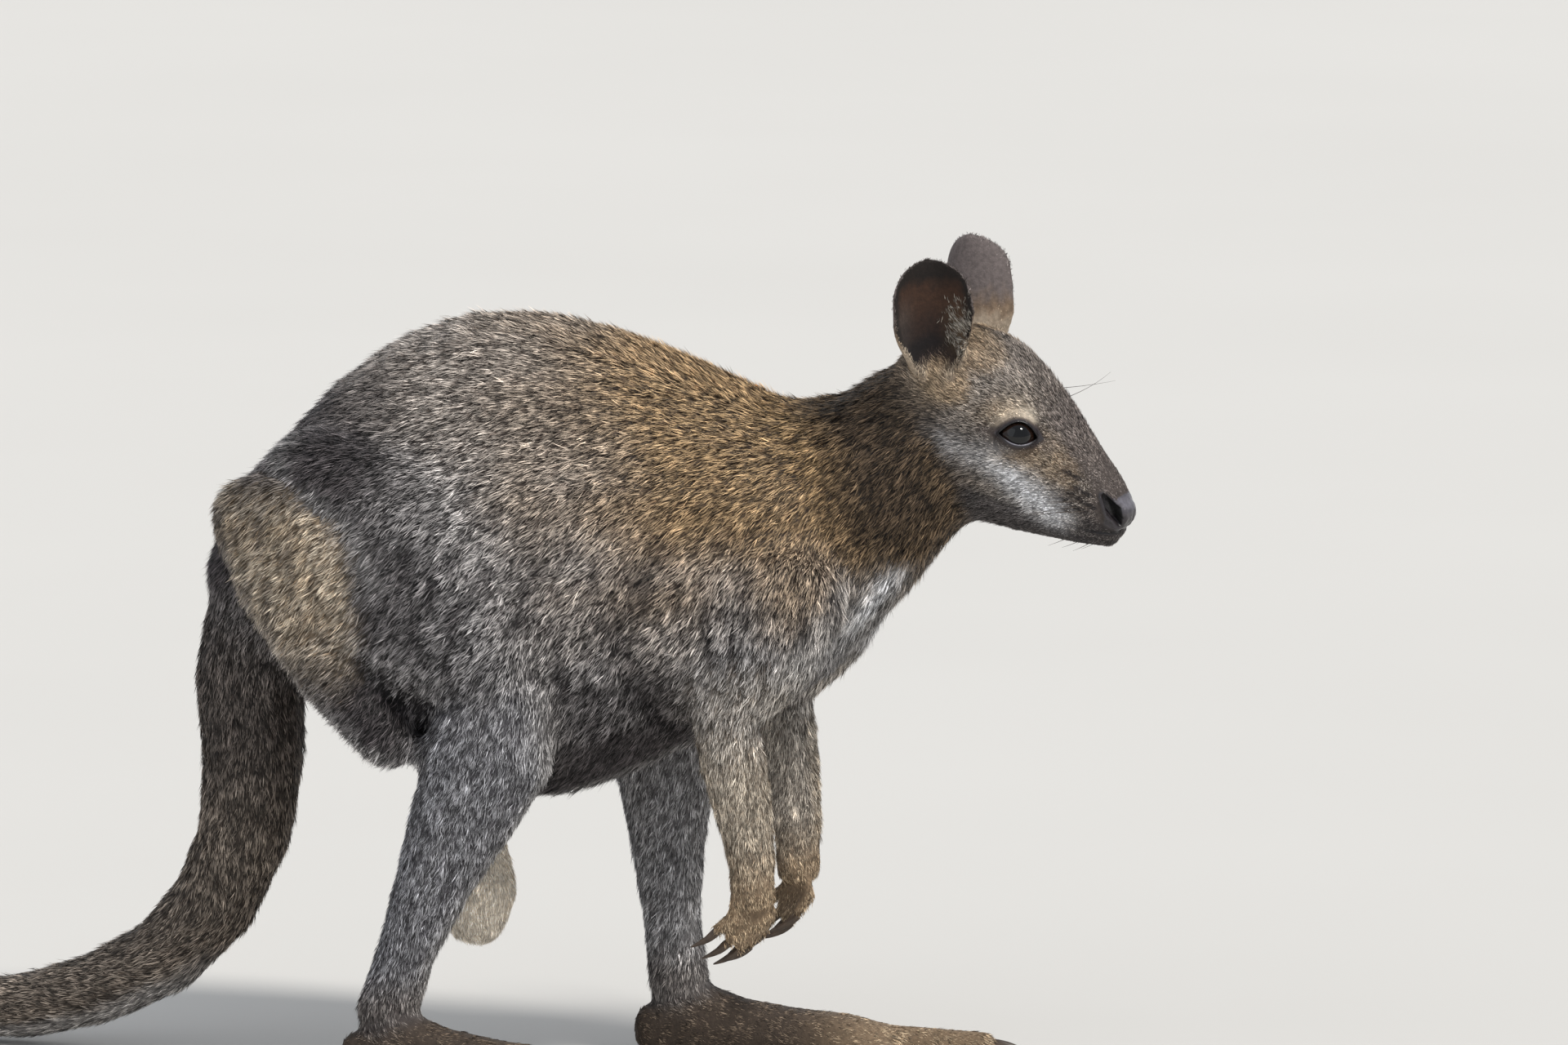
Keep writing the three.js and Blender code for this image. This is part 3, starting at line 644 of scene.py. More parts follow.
def bare_marks(at):
    """Colours of the bare skin: nose, nostrils, lips and lids, with painted sheen on the nose and the lower
    lids' rims and painted shade inside the nostrils and between the lips.
    """
    layers = Layers(np.tile(PALETTE["bare"], (len(at), 1)))
    add = layers.add
    x, _, z = at.T
    # painted sheen: the top of the nose leather lighter, and a painted highlight on the pad over the nostril
    add("painted_sheen", 0.25 * ramp(-5, 3, z) * ramp(17, 9, x))
    add("painted_sheen", 0.35 * ramp(1.2, 0.3, np.hypot((x - 7.5) / 5.5, (z - 2.5) / 3.2)))
    for side in SIDES:
        # painted shade: the inside of each nostril painted black
        add("black", ramp(0.12, 0.4, nostril_depth(at, side)[0]))
        a, b, height = at_eye(at, side)
        gap = lid_distance(a, b)
        lids = (height > -2) & (np.hypot(a, b) < 20)
        add("black", 0.75 * ramp(1.5, 0.6, gap) * lids)
        # painted reflection: a pale wet line along the rim of each lower lid
        add("painted_sheen", 0.9 * bump(gap - 0.35, 0.40) * lids * ramp(-0.5, -2.5, b) * ramp(9, 5, np.abs(a)))
    # painted shade: the slit between the lips painted black
    add("black", 0.85 * ramp(1.3, 0.5, mouth_distance(at)[0]))
    return layers.colour


def body_marks(colour, points, normals, weights):
    layers = Layers(colour)
    add = layers.add
    head, _, neck, trunk, upper_arm, forearm, _, thigh, shank, foot, tail, scrotum = weights.T
    place = points - BODY_ORIGIN
    x, y, z = place.T
    ahead, sideways, up = normals.T
    drift = 16 * waves(place, 90, 5) + 5 * waves(place, 28, 6)
    partings = waves(place * (1, 1, 0.22), 9, 44, 10)

    # back, rump, shoulders and nape
    add("flank", trunk * ramp(375, 300, z + drift) * ramp(120, 60, x))
    # the rear of the back darker: the rump's own darker coat, with painted shade added on it
    add("rump_and_shade", 0.95 * (trunk + thigh) * ramp(-30, -105, x + 0.35 * (z - 350) + drift) * ramp(-0.6, 0.0, up))
    warm = ramp(-35, 105, x + drift + 0.25 * (z - 380)) * ramp(238, 340, z + 0.15 * (150 - x) + 1.2 * drift)
    add("flank", 0.8 * (upper_arm + trunk) * ramp(345, 265, z + drift) * ramp(60, 100, x))
    add("rufous", 0.90 * (trunk + neck + upper_arm) * warm)
    # a dark band on the neck behind the head: the neck's darker coat together with painted shadow cast by the
    # head
    dark = ramp(150, 198, x + 0.35 * (z - 345) + 0.6 * drift) * ramp(270, 325, z + drift)
    nape = head * ramp(105, 125, in_head(points)[:, 0])
    add("neck", 0.97 * (neck + trunk + nape) * dark)

    # chest, belly and flanks
    front = trunk + neck + upper_arm
    chest = front * ramp(0.35, 0.8, ahead - 0.75 * up) * ramp(120, 150, x)
    add("belly", 0.70 * chest * ramp(312, 262, z + drift))
    # painted light: a bright white band down the chest, where the pale chest fur is lit
    painted_light_band = bump(x - 202 - 0.62 * (z - 280) - 0.2 * drift, 7) * ramp(304, 291, z) * ramp(232, 250, z)
    add("cheek", 0.95 * front * painted_light_band * ramp(9, 20, np.abs(y)))
    # painted shade: the low trunk, the low rear flank and the underside are darkened with the rump colour
    under = trunk * ramp(-0.15, -0.7, up)
    add("rump_and_shade", 0.55 * trunk * ramp(268, 228, z + 0.5 * drift))
    add("rump_and_shade", 0.40 * (trunk + thigh) * ramp(335, 275, z + drift) * ramp(60, -30, x) * ramp(195, 230, z))
    add("rump_and_shade", 0.9 * under)
    add("belly", 0.35 * under * ramp(28, 12, np.abs(y)))
    # painted shade: dark partings between the locks of the low flank
    lower = ramp(345, 285, z + drift) * (trunk + thigh + upper_arm) * ramp(0.2, 0.6, np.abs(sideways))
    add("deep", 0.75 * lower * ramp(0.25, 0.9, partings))
    # painted shade in the crease behind the upper arm
    add("deep", 0.6 * (trunk + upper_arm) * arm_crease(place))

    # the swelling behind the thigh
    behind = behind_haunch_edge(place) + 4 * waves(place, 14, 45)
    tan_here = (trunk + thigh) * ramp(210, 292, z) * ramp(348, 318, z) * np.where(y < 0, 1, 0.25)
    add("belly", 0.40 * thigh * bump(behind + 12, 8) * ramp(270, 300, z))
    add("haunch", 0.95 * tan_here * ramp(-9, np.where(y < 0, 9, 40), behind))
    add("tan", 0.5 * tan_here * bump(behind - 26, 13) * ramp(-0.4, 0.5, waves(place, 20, 46)))
    # painted shade: dark partings between the locks on the swelling, and its side that faces back darker
    add("rump_and_shade", 0.62 * tan_here * ramp(6, 24, behind) * ramp(0.1, 0.8, partings))
    add("rump_and_shade", 0.80 * tan_here * ramp(-0.20, -0.85, ahead) * ramp(0.8, 0.3, up))

    # limbs and tail
    add("belly", 0.35 * (shank + forearm + upper_arm) * ramp(0.35, 0.85, -np.sign(y) * sideways))
    add("cream", 0.9 * scrotum)
    # painted light: the forward-facing side of the shank made paler, as a lit edge
    add("belly", 0.6 * shank * ramp(0.45, 0.9, ahead))
    add("foot", 0.6 * shank * ramp(75, 45, z))
    # the lower upper arm paler: partly the paler fur of the forearm running up, partly painted sunlight
    add("forearm", 0.45 * upper_arm * ramp(262, 222, z))
    add("hand", 0.75 * forearm * ramp(150, 122, z))
    add("hand", 0.9 * foot * ramp(60, 120, x - np.where(y > 0, 62, -74)))
    add("belly", 0.7 * tail * ramp(-0.3, -0.8, up) * ramp(70, 40, z))
    # painted shade: the upper tail near the body made darker
    add("rump_and_shade", 0.6 * tail * ramp(120, 200, z))
    add("tail_tip", 0.9 * tail * ramp(-440, -540, x))
    return layers.colour


def ear_marks(colour, points, normals, own, side):
    layers = Layers(colour, own)
    add = layers.add
    t, round_cup = ear_place(points, side)
    hollow = in_hollow(points, normals, side)
    patches = waves(points, 7, 43)
    add("tan", 0.90 * (1 - hollow) * ramp(0.60, 0.34, t + 0.05 * patches))
    add("brow", 0.45 * (1 - hollow) * ramp(0.42, 0.28, t + 0.04 * patches))
    add("ear_hollow", hollow)
    add("back", 0.80 * hollow * ramp(-0.15, -0.6, round_cup) * ramp(0.75, 0.45, t))
    # painted shade: the ear's hollow darker toward its bottom and middle
    add("deep", 0.55 * hollow * ramp(0.62, 0.42, t + 0.12 * np.abs(round_cup)))
    add("deep", 0.95 * hollow * ramp(0.40, 0.28, t + 0.10 * np.abs(round_cup)))
    add("tan", 0.50 * hollow * ear_fringe(t, round_cup))
    side_edge = ramp(0.66, 0.84, np.abs(round_cup) + 0.05 * patches)
    top_edge = ramp(0.70, 0.82, t + 0.03 * patches)
    add("ear_rim", 0.95 * hollow * np.maximum(side_edge, top_edge))
    add("ear_rim", 0.7 * (1 - hollow) * ramp(0.88, 1.0, np.abs(round_cup)) * ramp(0.3, 0.5, t))
    return layers.colour


def ear_fringe(t, round_cup):
    """1 where pale hairs stand on the front wall of the ear's hollow."""
    return ramp(0.10, 0.65, round_cup) * ramp(0.10, 0.22, t) * ramp(0.70, 0.34, t)


def markings(points, normals, weights):
    """Tip, middle and root colour in nine columns, and how bare the skin is."""
    colour = sum(weights[:, i:i + 1] * PALETTE[COAT[r][COLOUR]] for i, r in enumerate(REGIONS))
    colour = body_marks(colour, points, normals, weights)
    at, head = in_head(points), weights[:, HEAD]
    colour = blend(colour, face_marks(colour, at, normals), ramp(0.2, 0.8, head))
    for side in SIDES:
        colour = ear_marks(colour, points, normals, own_ear(weights[:, EAR], at, side), side)
    bare = bare_skin(at) * ramp(0.3, 0.7, head)
    return blend(colour, bare_marks(at), bare), bare


# ---- the lie of the coat
def flow_at(points, normals, weights):
    """Unit directions along the skin in which the hair lies."""
    _, y, z = (points - BODY_ORIGIN).T
    lift = ramp(30, 120, z)
    back, _, up_head = HEAD_AXES.T
    ways = {
        "head": back - (0.12 + 0.7 * ramp(4, -32, in_head(points)[:, 2]))[:, None] * up_head,
        "ear": up_head + 0.25 * back,
        "neck": (-0.75, 0, -0.75),
        "trunk": stacked(-1, 0, -0.3 - 0.8 * ramp(400, 270, z)),
        "upper_arm": (-0.35, 0, -1),
        "forearm": stacked(0, 0.1 * np.sign(y), -1),
        "hand": (0.2, 0, -1),
        "thigh": (-0.7, 0, -0.75),
        "shank": (-0.25, 0, -1),
        "foot": (1, 0, -0.25),
        "tail": stacked(lift - 1.05, 0, -lift),
        "scrotum": (0, 0, -1),
    }
    flow = sum(weights[:, i:i + 1] * unit(ways[r]) for i, r in enumerate(REGIONS))
    sway = np.stack([waves(points, 60, seed) for seed in (21, 22, 23)], 1)
    return along_skin(flow + (0.09 - 0.04 * weights[:, HEAD, None]) * sway, normals)


def blend_value(weights, column):
    return weights @ np.array([COAT[r][column] for r in REGIONS])


# ---- building the skin
def behind_haunch_edge(place):
    """How far in millimetres a place lies inside the swelling at the back of the thigh."""
    edge = np.interp(place[:, 2], HAUNCH_EDGE[:, 0], HAUNCH_EDGE[:, 1])
    below = HAUNCH_TOP - place[:, 2]
    outside = ramp(30, 70, np.abs(place[:, 1]))
    return np.minimum(edge - place[:, 0], below) * outside - 20 * (1 - outside)


def haunch_ridge(place):
    return HAUNCH_HEIGHT * ramp(-3, 9, behind_haunch_edge(place)) * ramp(225, 290, place[:, 2])


def before_arm_edge(place):
    """How far in millimetres a place lies in front of the upper arm's back edge."""
    return place[:, 0] - np.interp(place[:, 2], ARM_EDGE[:, 0], ARM_EDGE[:, 1])


def arm_crease(place):
    """1 in the middle of the hollow behind the upper arm."""
    level = ramp(196, 214, place[:, 2]) * ramp(318, 290, place[:, 2])
    return bump(before_arm_edge(place) + 3, 6) * level * ramp(25, 45, np.abs(place[:, 1]))


def arm_swell(place):
    level = ramp(196, 220, place[:, 2]) * ramp(322, 285, place[:, 2])
    return bump(before_arm_edge(place) - 22, 17) * level * ramp(25, 45, np.abs(place[:, 1]))


def region_weights(ring, nearest):
    """The share of each region at each point: short steps at ears, hands and feet, long ones elsewhere."""
    weights = np.eye(len(REGIONS))[nearest]
    weights = ring.smooth(weights, 1.0, 14)
    fine = weights[:, [REGIONS.index(r) for r in ("ear", "hand", "foot", "scrotum")]].sum(1)
    weights = ring.smooth(weights, ramp(0.25, 0.0, fine)[:, None] * 0.98, 60)
    weights /= weights.sum(1, keepdims=True)
    return weights


def smooth_form(tree, owner):
    """The bare form, smoothed as much as its regions ask and refined at the face."""
    mesh = bare_form()
    points = arrays(mesh)[0] * 1000
    ring = Neighbours(edges_of(mesh), len(points))
    nearest = against_solids(points, tree, owner)[0]
    softness = np.array([COAT[r][SMOOTHING] for r in REGIONS])[nearest][:, None]
    softness = ring.smooth(softness, 1.0, 6)
    set_points(mesh, ring.smooth(points, 0.9 * softness, 60))
    mesh = modified(mesh, "DECIMATE", ratio=0.5)
    for wanted in (near_face, near_features, near_eyes):
        refine(mesh, wanted)
    return mesh


def skin_depth(points, weights):
    """How far the skin lies below the solids, which leaves room for the coat."""
    snout = ramp(80, 20, in_head(points)[:, 0]) * weights[:, HEAD]
    depth = blend_value(weights, DEPTH) * (1 - 0.85 * snout)
    place = points - BODY_ORIGIN
    depth += ARM_CREASE_DEPTH * arm_crease(place) - ARM_SWELL_HEIGHT * arm_swell(place) - haunch_ridge(place)
    return depth


def sculpted_head(points, triangles, weights):
    at, normals = in_head(points), normals_of(points, triangles) @ HEAD_AXES
    shaped = sculpt_snout(at, normals)
    for side in SIDES:
        shaped = sculpt_lids(shaped, normals, side)
    mine = ramp(0.3, 0.7, weights[:, HEAD])[:, None]
    return points + mine * ((shaped - at) @ HEAD_AXES.T)


def make_skin():
    """The skin object, and its arrays: points, triangles, normals, shares of the regions."""
    tree, owner = node_finder()
    mesh = smooth_form(tree, owner)
    points, triangles = arrays(mesh)
    points = points * 1000
    ring = Neighbours(edges_of(mesh), len(points))
    points = ring.smooth(points, 0.6 * near_face(points)[:, None], 8)
    nearest, sunk = against_solids(points, tree, owner)
    weights = region_weights(ring, nearest)
    normals = ring.smooth(normals_of(points, triangles), 1.0, 2)
    sunk = ring.smooth(np.clip(sunk, -0.6, 5)[:, None], 1.0, 12)[:, 0]
    points = points - unit(normals) * (skin_depth(points, weights) - sunk)[:, None]
    points[:, 2] = np.maximum(points[:, 2], SKIN_FLOOR)
    for side in SIDES:
        points = fitted_ear(points, own_ear(weights[:, EAR], in_head(points), side), side)
    points = sculpted_head(points, triangles, weights)
    set_points(mesh, points)
    shade_smooth(mesh)
    mesh.name = "skin"
    return new_object("skin", mesh), points, triangles, normals_of(points, triangles), weights


def unwrap(thing):
    """An unwrap of the skin's own shape, as the UV map OFBake."""
    thing.data.uv_layers.new(name="OFBake")
    bpy.context.view_layer.objects.active = thing
    thing.select_set(True)
    bpy.ops.object.mode_set(mode="EDIT")
    bpy.ops.mesh.select_all(action="SELECT")
    bpy.ops.uv.smart_project(angle_limit=math.radians(72), island_margin=0.004)
    bpy.ops.object.mode_set(mode="OBJECT")
    thing.select_set(False)


def corner_places(mesh):
    """For each triangle, the unwrap's coordinates at its three corners."""
    mesh.calc_loop_triangles()
    return read(mesh.uv_layers["OFBake"].data, "uv", 2)[read(mesh.loop_triangles, "loops", 3, np.int32)]


def paint(mesh, rows):
    """Stores a tint for each vertex."""
    layer = mesh.color_attributes.new("tint", "FLOAT_COLOR", "POINT")
    full = np.ones((len(rows), 4), np.float32)
    full[:, :3] = rows
    layer.data.foreach_set("color", full.ravel())


# ---- the coat
def scatter(points, triangles, density):
    """Random places on the surface: the triangle and the shares of its corners."""
    a, b, c = (points[triangles[:, i]] for i in range(3))
    area = np.linalg.norm(np.cross(b - a, c - a), axis=1) / 2
    expected = area * density[triangles].mean(1)
    total = np.cumsum(expected)
    count = int(total[-1])
    marks = (np.arange(count) + rng.uniform(0, 1, count)) * total[-1] / count
    chosen = np.minimum(np.searchsorted(total, marks), len(triangles) - 1)
    u, v = rng.uniform(0, 1, (2, count))
    flip = u + v > 1
    u, v = np.where(flip, 1 - u, u), np.where(flip, 1 - v, v)
    return chosen, np.stack([1 - u - v, u, v], 1)


def blades(root, normal, way, length, lift, width, colours, patch_at, column, shade):
    """Points, normals, colours and patch places of thin blades, four points to a blade."""
    count = len(root)
    across = np.cross(normal, way)
    roll = rng.normal(0, 0.45, count)[:, None]
    start = way * np.cos(lift)[:, None] + normal * np.sin(lift)[:, None]
    end_lift = lift * rng.uniform(0.0, 0.75, count)
    end = way * np.cos(end_lift)[:, None] + normal * np.sin(end_lift)[:, None]
    end = unit(end + across * rng.normal(0, 0.10, count)[:, None])
    long = length[:, None]
    flat = unit(across * np.cos(roll) + normal * np.sin(roll)) * width[:, None] / 2
    flat *= np.where((np.cross(flat, start) * normal).sum(1, keepdims=True) < 0, -1, 1)
    base = root - normal * ROOT_DEPTH
    half = base + long * (0.46 * start + 0.11 * (end - start))
    tip = base + long * (start + 0.5 * (end - start))
    points = np.stack([base, half - flat, half + flat, tip], 1)
    facing = unit(0.62 * normal + 0.38 * unit(np.cross(flat, start)))
    facings = np.stack([facing, facing, facing, unit(facing + 0.25 * way)], 1)
    tips, mids, roots = (colours[:, i:i + 3] * shade[:, i // 3, None] for i in (0, 3, 6))
    tints = np.stack([roots, mids, mids, tips], 1)
    sides, along = np.array([[0.5, 0.0, 1.0, 0.5], [0.0, 0.5, 0.5, 1.0]])
    u = patch_at[:, :1] + (column + 0.8 * sides) * PATCH / BLADES - PATCH / 2
    v = patch_at[:, 1:] + (along - 0.5) * PATCH
    return [rows.reshape(-1, rows.shape[2]) for rows in (points, facings, tints, np.stack([u, v], 2))]


def hair_factor(points, normals, weights, bare):
    """Shares of full density and length over the skin."""
    at = in_head(points)
    snout = ramp(75, 18, at[:, 0]) * weights[:, HEAD]
    density = ramp(0.55, 0.2, bare)
    length = 1 - 0.60 * snout
    for side in SIDES:
        a, b, height = at_eye(at, side)
        gap = lid_distance(a, b)
        here = (height > -8) & (np.hypot(a, b) < 26)
        length *= 1 - 0.60 * ramp(12, 2.5, gap) * here
        density *= 1 - (1 - ramp(1.4, 5.0, gap) * 0.75 - 0.25 * (gap > 1.4)) * here * (height > -6)
        own = own_ear(weights[:, EAR], at, side)
        t, round_cup = ear_place(points, side)
        hollow = in_hollow(points, normals, side) * own
        density *= 1 - 0.45 * hollow * (1 - ear_fringe(t, round_cup) * hollow)
        length *= 1 - 0.25 * hollow
        length *= 1 + 1.2 * own * ramp(0.34, 0.12, t) * (1 - hollow)
    density *= 1 + 0.5 * snout
    sole = ramp(-0.6, -0.9, normals[:, 2]) * ramp(8, 3, points[:, 2])
    return density * (1 - 0.8 * sole), length


def ear_flow(points, normals, weights, flow):
    """The lie of the coat with the pale hairs in the ears, which point into the hollow."""
    at = in_head(points)
    for side in SIDES:
        into, across, up_ear = ear_axes(side).T
        t, round_cup = ear_place(points, side)
        own = own_ear(weights[:, EAR], at, side) * in_hollow(points, normals, side)
        fringe = (ear_fringe(t, round_cup) * own)[:, None]
        inward = -across * np.sign(across[0]) + 0.35 * up_ear + 0.3 * into
        flow = flow * (1 - fringe) + inward * fringe
    return along_skin(flow, normals)


def pale_ear_hairs(root, normal, ear, tint, shade, length, lift):
    """Turns some of the tufts in the ears' hollows into long pale hairs."""
    for side in SIDES:
        t, round_cup = ear_place(root, side)
        own = own_ear(ear, in_head(root), side) * in_hollow(root, normal, side)
        pale = rng.uniform(0, 1, len(root)) < 0.50 * ramp(0.6, 0.95, own) * ear_fringe(t, round_cup)
        tint[pale] = PALETTE["cream"] * rng.uniform(0.15, 0.75, (pale.sum(), 1))
        shade[pale] *= 0.3
        length[pale] *= rng.uniform(1.8, 4.2, pale.sum())
        lift[pale] = np.radians(rng.uniform(20, 60, pale.sum()))


def make_coat(points, triangles, normals, weights, places):
    """The blades of all tufts, and each tuft's region and root."""
    colours, bare = markings(points, normals, weights)
    flow = ear_flow(points, normals, weights, flow_at(points, normals, weights))
    thick, long = hair_factor(points, normals, weights, bare)
    thin_out = 1.0
    density = blend_value(weights, DENSITY) * thick * thin_out / BLADES
    chosen, share = scatter(points, triangles, density)
    corners = triangles[chosen]

    def at_root(values):
        return (values[corners] * share.reshape(len(share), 3, *([1] * (values.ndim - 1)))).sum(1)

    root, normal = at_root(points), unit(at_root(normals))
    way = along_skin(at_root(flow), normal)
    length = at_root(blend_value(weights, LENGTH) * long)
    lift = np.radians(at_root(blend_value(weights, LIFT)))
    width = at_root(blend_value(weights, WIDTH)) / math.sqrt(thin_out)
    tint = at_root(colours)
    patch_at = (places[chosen] * share[:, :, None]).sum(1)
    count = len(root)

    # tufts differ in shade, length and lift, in ripples that run across the lie of the coat; the tufts that
    # lie low in a ripple are painted darker, as painted shade in the gaps between locks
    body = at_root(1 - weights[:, [HEAD, EAR]].sum(1))
    low = ramp(345, 285, (root - BODY_ORIGIN)[:, 2])
    ripple = waves(root * (0.45, 1, 1), 6, 31, 12) * (1 - low) + waves(root * (1, 1, 0.35), 6, 34, 12) * low
    clump = ripple * (0.30 + 0.70 * body) + 0.4 * waves(root, 24, 33)
    kind = rng.uniform(0, 1, count)
    tint[:, 3:6] = blend(tint[:, 3:6], tint[:, :3], (0.30 + 0.30 * body) * (kind > LIGHT_ABOVE))
    shade = 0.30 * clump + np.where(kind < DARK_BELOW, -0.85, 0.12) - 0.09 * body + rng.normal(0, 0.16, count)
    tuft_length = length * rng.uniform(0.75, 1.15, count) * (1 + 0.12 * clump)
    tuft_lift = lift * np.clip(1 + 0.40 * clump + rng.normal(0, 0.3, count), 0.2, 2.4)
    pale_ear_hairs(root, normal, at_root(weights[:, EAR]), tint, shade, tuft_length, tuft_lift)
    shade *= 1 - 0.75 * at_root(weights[:, SCROTUM])
    across = np.cross(normal, way)
    swing = rng.normal(0, 0.18, count) + 0.06 * waves(root, 22, 32) * body
    way = unit(way + across * swing[:, None])

    parts = []
    for i in range(BLADES):
        apart = rng.normal(0, 1.0, (count, 2)) * (0.55 + 0.06 * length)[:, None]
        drift = rng.normal(0, 0.10, count)[:, None] - 0.05 * apart[:, :1]
        parts.append(blades(
            root + across * apart[:, :1] + way * apart[:, 1:], normal, unit(way + across * drift),
            tuft_length * rng.uniform(0.8, 1.15, count),
            tuft_lift * rng.uniform(0.7, 1.3, count),
            width * rng.uniform(0.7, 1.25, count), tint, patch_at, i,
            np.exp(shade[:, None] + rng.normal(0, 1, (count, 3)) * (0.44, 0.36, 0.26))))
    return parts, weights[corners].sum(1).argmax(1), root


def coat_piece(name, parts, mask):
    """One mesh of the tufts that `mask` picks."""
    kept = np.repeat(mask, 4)
    points, facings, tints, places = (np.concatenate([part[i][kept] for part in parts]) for i in range(4))
    count = len(points) // 4
    triangles = (BLADE_FACES[None] + 4 * np.arange(count)[:, None, None]).reshape(-1, 3)
    points[:, 2] = np.maximum(points[:, 2], COAT_FLOOR)
    mesh = fast_mesh(name, points / 1000, triangles)
    layer = mesh.uv_layers.new(name="OFBake")
    layer.data.foreach_set("uv", places[triangles.ravel()].astype(np.float32).ravel())
    paint(mesh, tints)
    shade_smooth(mesh)
    mesh.normals_split_custom_set_from_vertices(facings.astype(np.float32))
    return new_object(name, mesh)


def coat_objects(parts, region, root):
    """The pieces of the coat, each cut from back to front where it has too many triangles."""
    made = []
    for name, regions in PIECES.items():
        mine = np.isin(region, [REGIONS.index(r) for r in regions])
        slices = max(1, math.ceil(mine.sum() * BLADES * len(BLADE_FACES) / MOST_TRIANGLES))
        cuts = np.quantile(root[mine, 0], np.linspace(0, 1, slices + 1))
        cuts[-1] += 1
        for i in range(slices):
            part = mine & (root[:, 0] >= cuts[i]) & (root[:, 0] < cuts[i + 1])
            made.append(coat_piece(f"coat_{name}_{i + 1}", parts, part))
    return made


# ---- eyes, claws and whiskers
def eye_tint(angle, spin):
    """Pupil, iris and dark rim, from the angle off the middle of the eye and the one round it."""
    pupil = ramp(0.60, 0.54, angle * (1 + 0.10 * np.sin(spin) ** 2))
    iris = ramp(0.96, 0.88, angle)
    streaks = 0.75 + 0.35 * np.sin(23 * spin + 3 * np.sin(5 * spin)) ** 2
    brown = linear(32, 20, 14)[None] * streaks[:, None] * (0.6 + 0.5 * ramp(0.45, 0.7, angle))[:, None]
    tint = linear(30, 23, 21) * np.ones((len(angle), 1))
    tint = blend(tint, linear(14, 10, 9), ramp(1.08, 0.98, angle))
    tint = blend(tint, brown, iris)
    return blend(tint, linear(3, 3, 4), pupil)


def eyeball(side):
    """One glossy ball with a raised front, its iris and pupil painted on it."""
    node = "eye_right" if side == 1 else "eye_left"
    rings, spokes = 56, 72
    polar = np.linspace(0, math.pi, rings + 1)[:, None]
    around = np.linspace(0, 2 * math.pi, spokes, endpoint=False)[None, :]
    radius = EYE_RADIUS - 0.5 + CORNEA_BULGE * ramp(0.80, 0.25, polar)
    local = np.stack([radius * np.sin(polar) * np.cos(around), radius * np.sin(polar) * np.sin(around),
                      radius * np.cos(polar) * np.ones_like(around)], 2).reshape(-1, 3)
    points = middle(node) + (local @ eye_axes(side)) @ HEAD_AXES.T
    faces = []
    for i in range(rings):
        for k in range(spokes):
            a, b = i * spokes + k, i * spokes + (k + 1) % spokes
            faces.append([a, a + spokes, b + spokes, b])
    mesh = mesh_from(node + "_ball", (points / 1000).tolist(), faces)
    paint(mesh, eye_tint(np.repeat(polar[:, 0], spokes), np.tile(around[0], rings + 1)))
    shade_smooth(mesh)
    ball = new_object(node + "_ball", mesh)
    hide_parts(node)
    return ball


def rooted_claw(node):
    """A claw's points and faces, with its root set into the finger or toe it is on."""
    limb = "_".join(node.split("_")[1:3])  # claw_hand_right_2 is on hand_right
    tree = BVHTree.FromPolygons(*solid(limb))
    points, faces = grown_node(node, 0.05)
    points = np.array(points) * 1000
    away = np.array([tree.find_nearest(p)[3] for p in points.tolist()])
    root = away < 1.2
    points[root] += unit(points[root].mean(0) - points[away.argmax()]) * CLAW_ROOT
    return (points / 1000).tolist(), faces


def claw_set(name, nodes):
    """Smooth copies of the claws of hands or feet."""
    rough = mesh_from(name, *joined(rooted_claw(node) for node in nodes))
    mesh = modified(rough, "SUBSURF", levels=2, render_levels=2)
    mesh.name = name
    shade_smooth(mesh)
    made = new_object(name, mesh)
    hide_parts(*nodes)
    return made


def whiskers(points, weights):
    """Stiff hairs on the upper lip, over the eyes and on the chin."""
    at = in_head(points)
    made, faces = [], []
    spots = [(x, side, z, rng.uniform(short, long), way)
             for roots, short, long, way in WHISKERS for x, z in roots for side in SIDES]
    for x, side, z, long, way in spots:
        ok = (at[:, 1] * side > 1) & (weights[:, HEAD] > 0.9)
        far = np.where(ok, np.hypot(at[:, 0] - x, at[:, 2] - z) + 0.02 * (40 - np.abs(at[:, 1])), 1e9)
        start = points[far.argmin()]
        ahead = unit(HEAD_AXES @ (np.array(way) * (1, side, 1)) + rng.normal(0, 0.10, 3))
        droop = unit(ahead + HEAD_AXES @ np.array([0.6, 0, -0.35]))
        across = unit(np.cross(ahead, (0.1, 0.2, 1.0)))
        other = np.cross(ahead, across)
        first = len(made)
        for i in range(WHISKER_STEPS + 1):
            t = i / WHISKER_STEPS
            centre = start + long * t * unit(ahead * (1 - 0.35 * t) + droop * 0.35 * t)
            thick = WHISKER_TAPER * (1 - t) + WHISKER_TIP
            for k in range(3):
                angle = k * 2 * math.pi / 3
                made.append((centre + thick * (across * math.cos(angle) + other * math.sin(angle))) / 1000)
        for i in range(WHISKER_STEPS):
            for k in range(3):
                a, b = first + 3 * i + k, first + 3 * i + (k + 1) % 3
                faces.append([a, b, b + 3, a + 3])
    return new_object("whiskers", mesh_from("whiskers", [tuple(p) for p in made], faces))


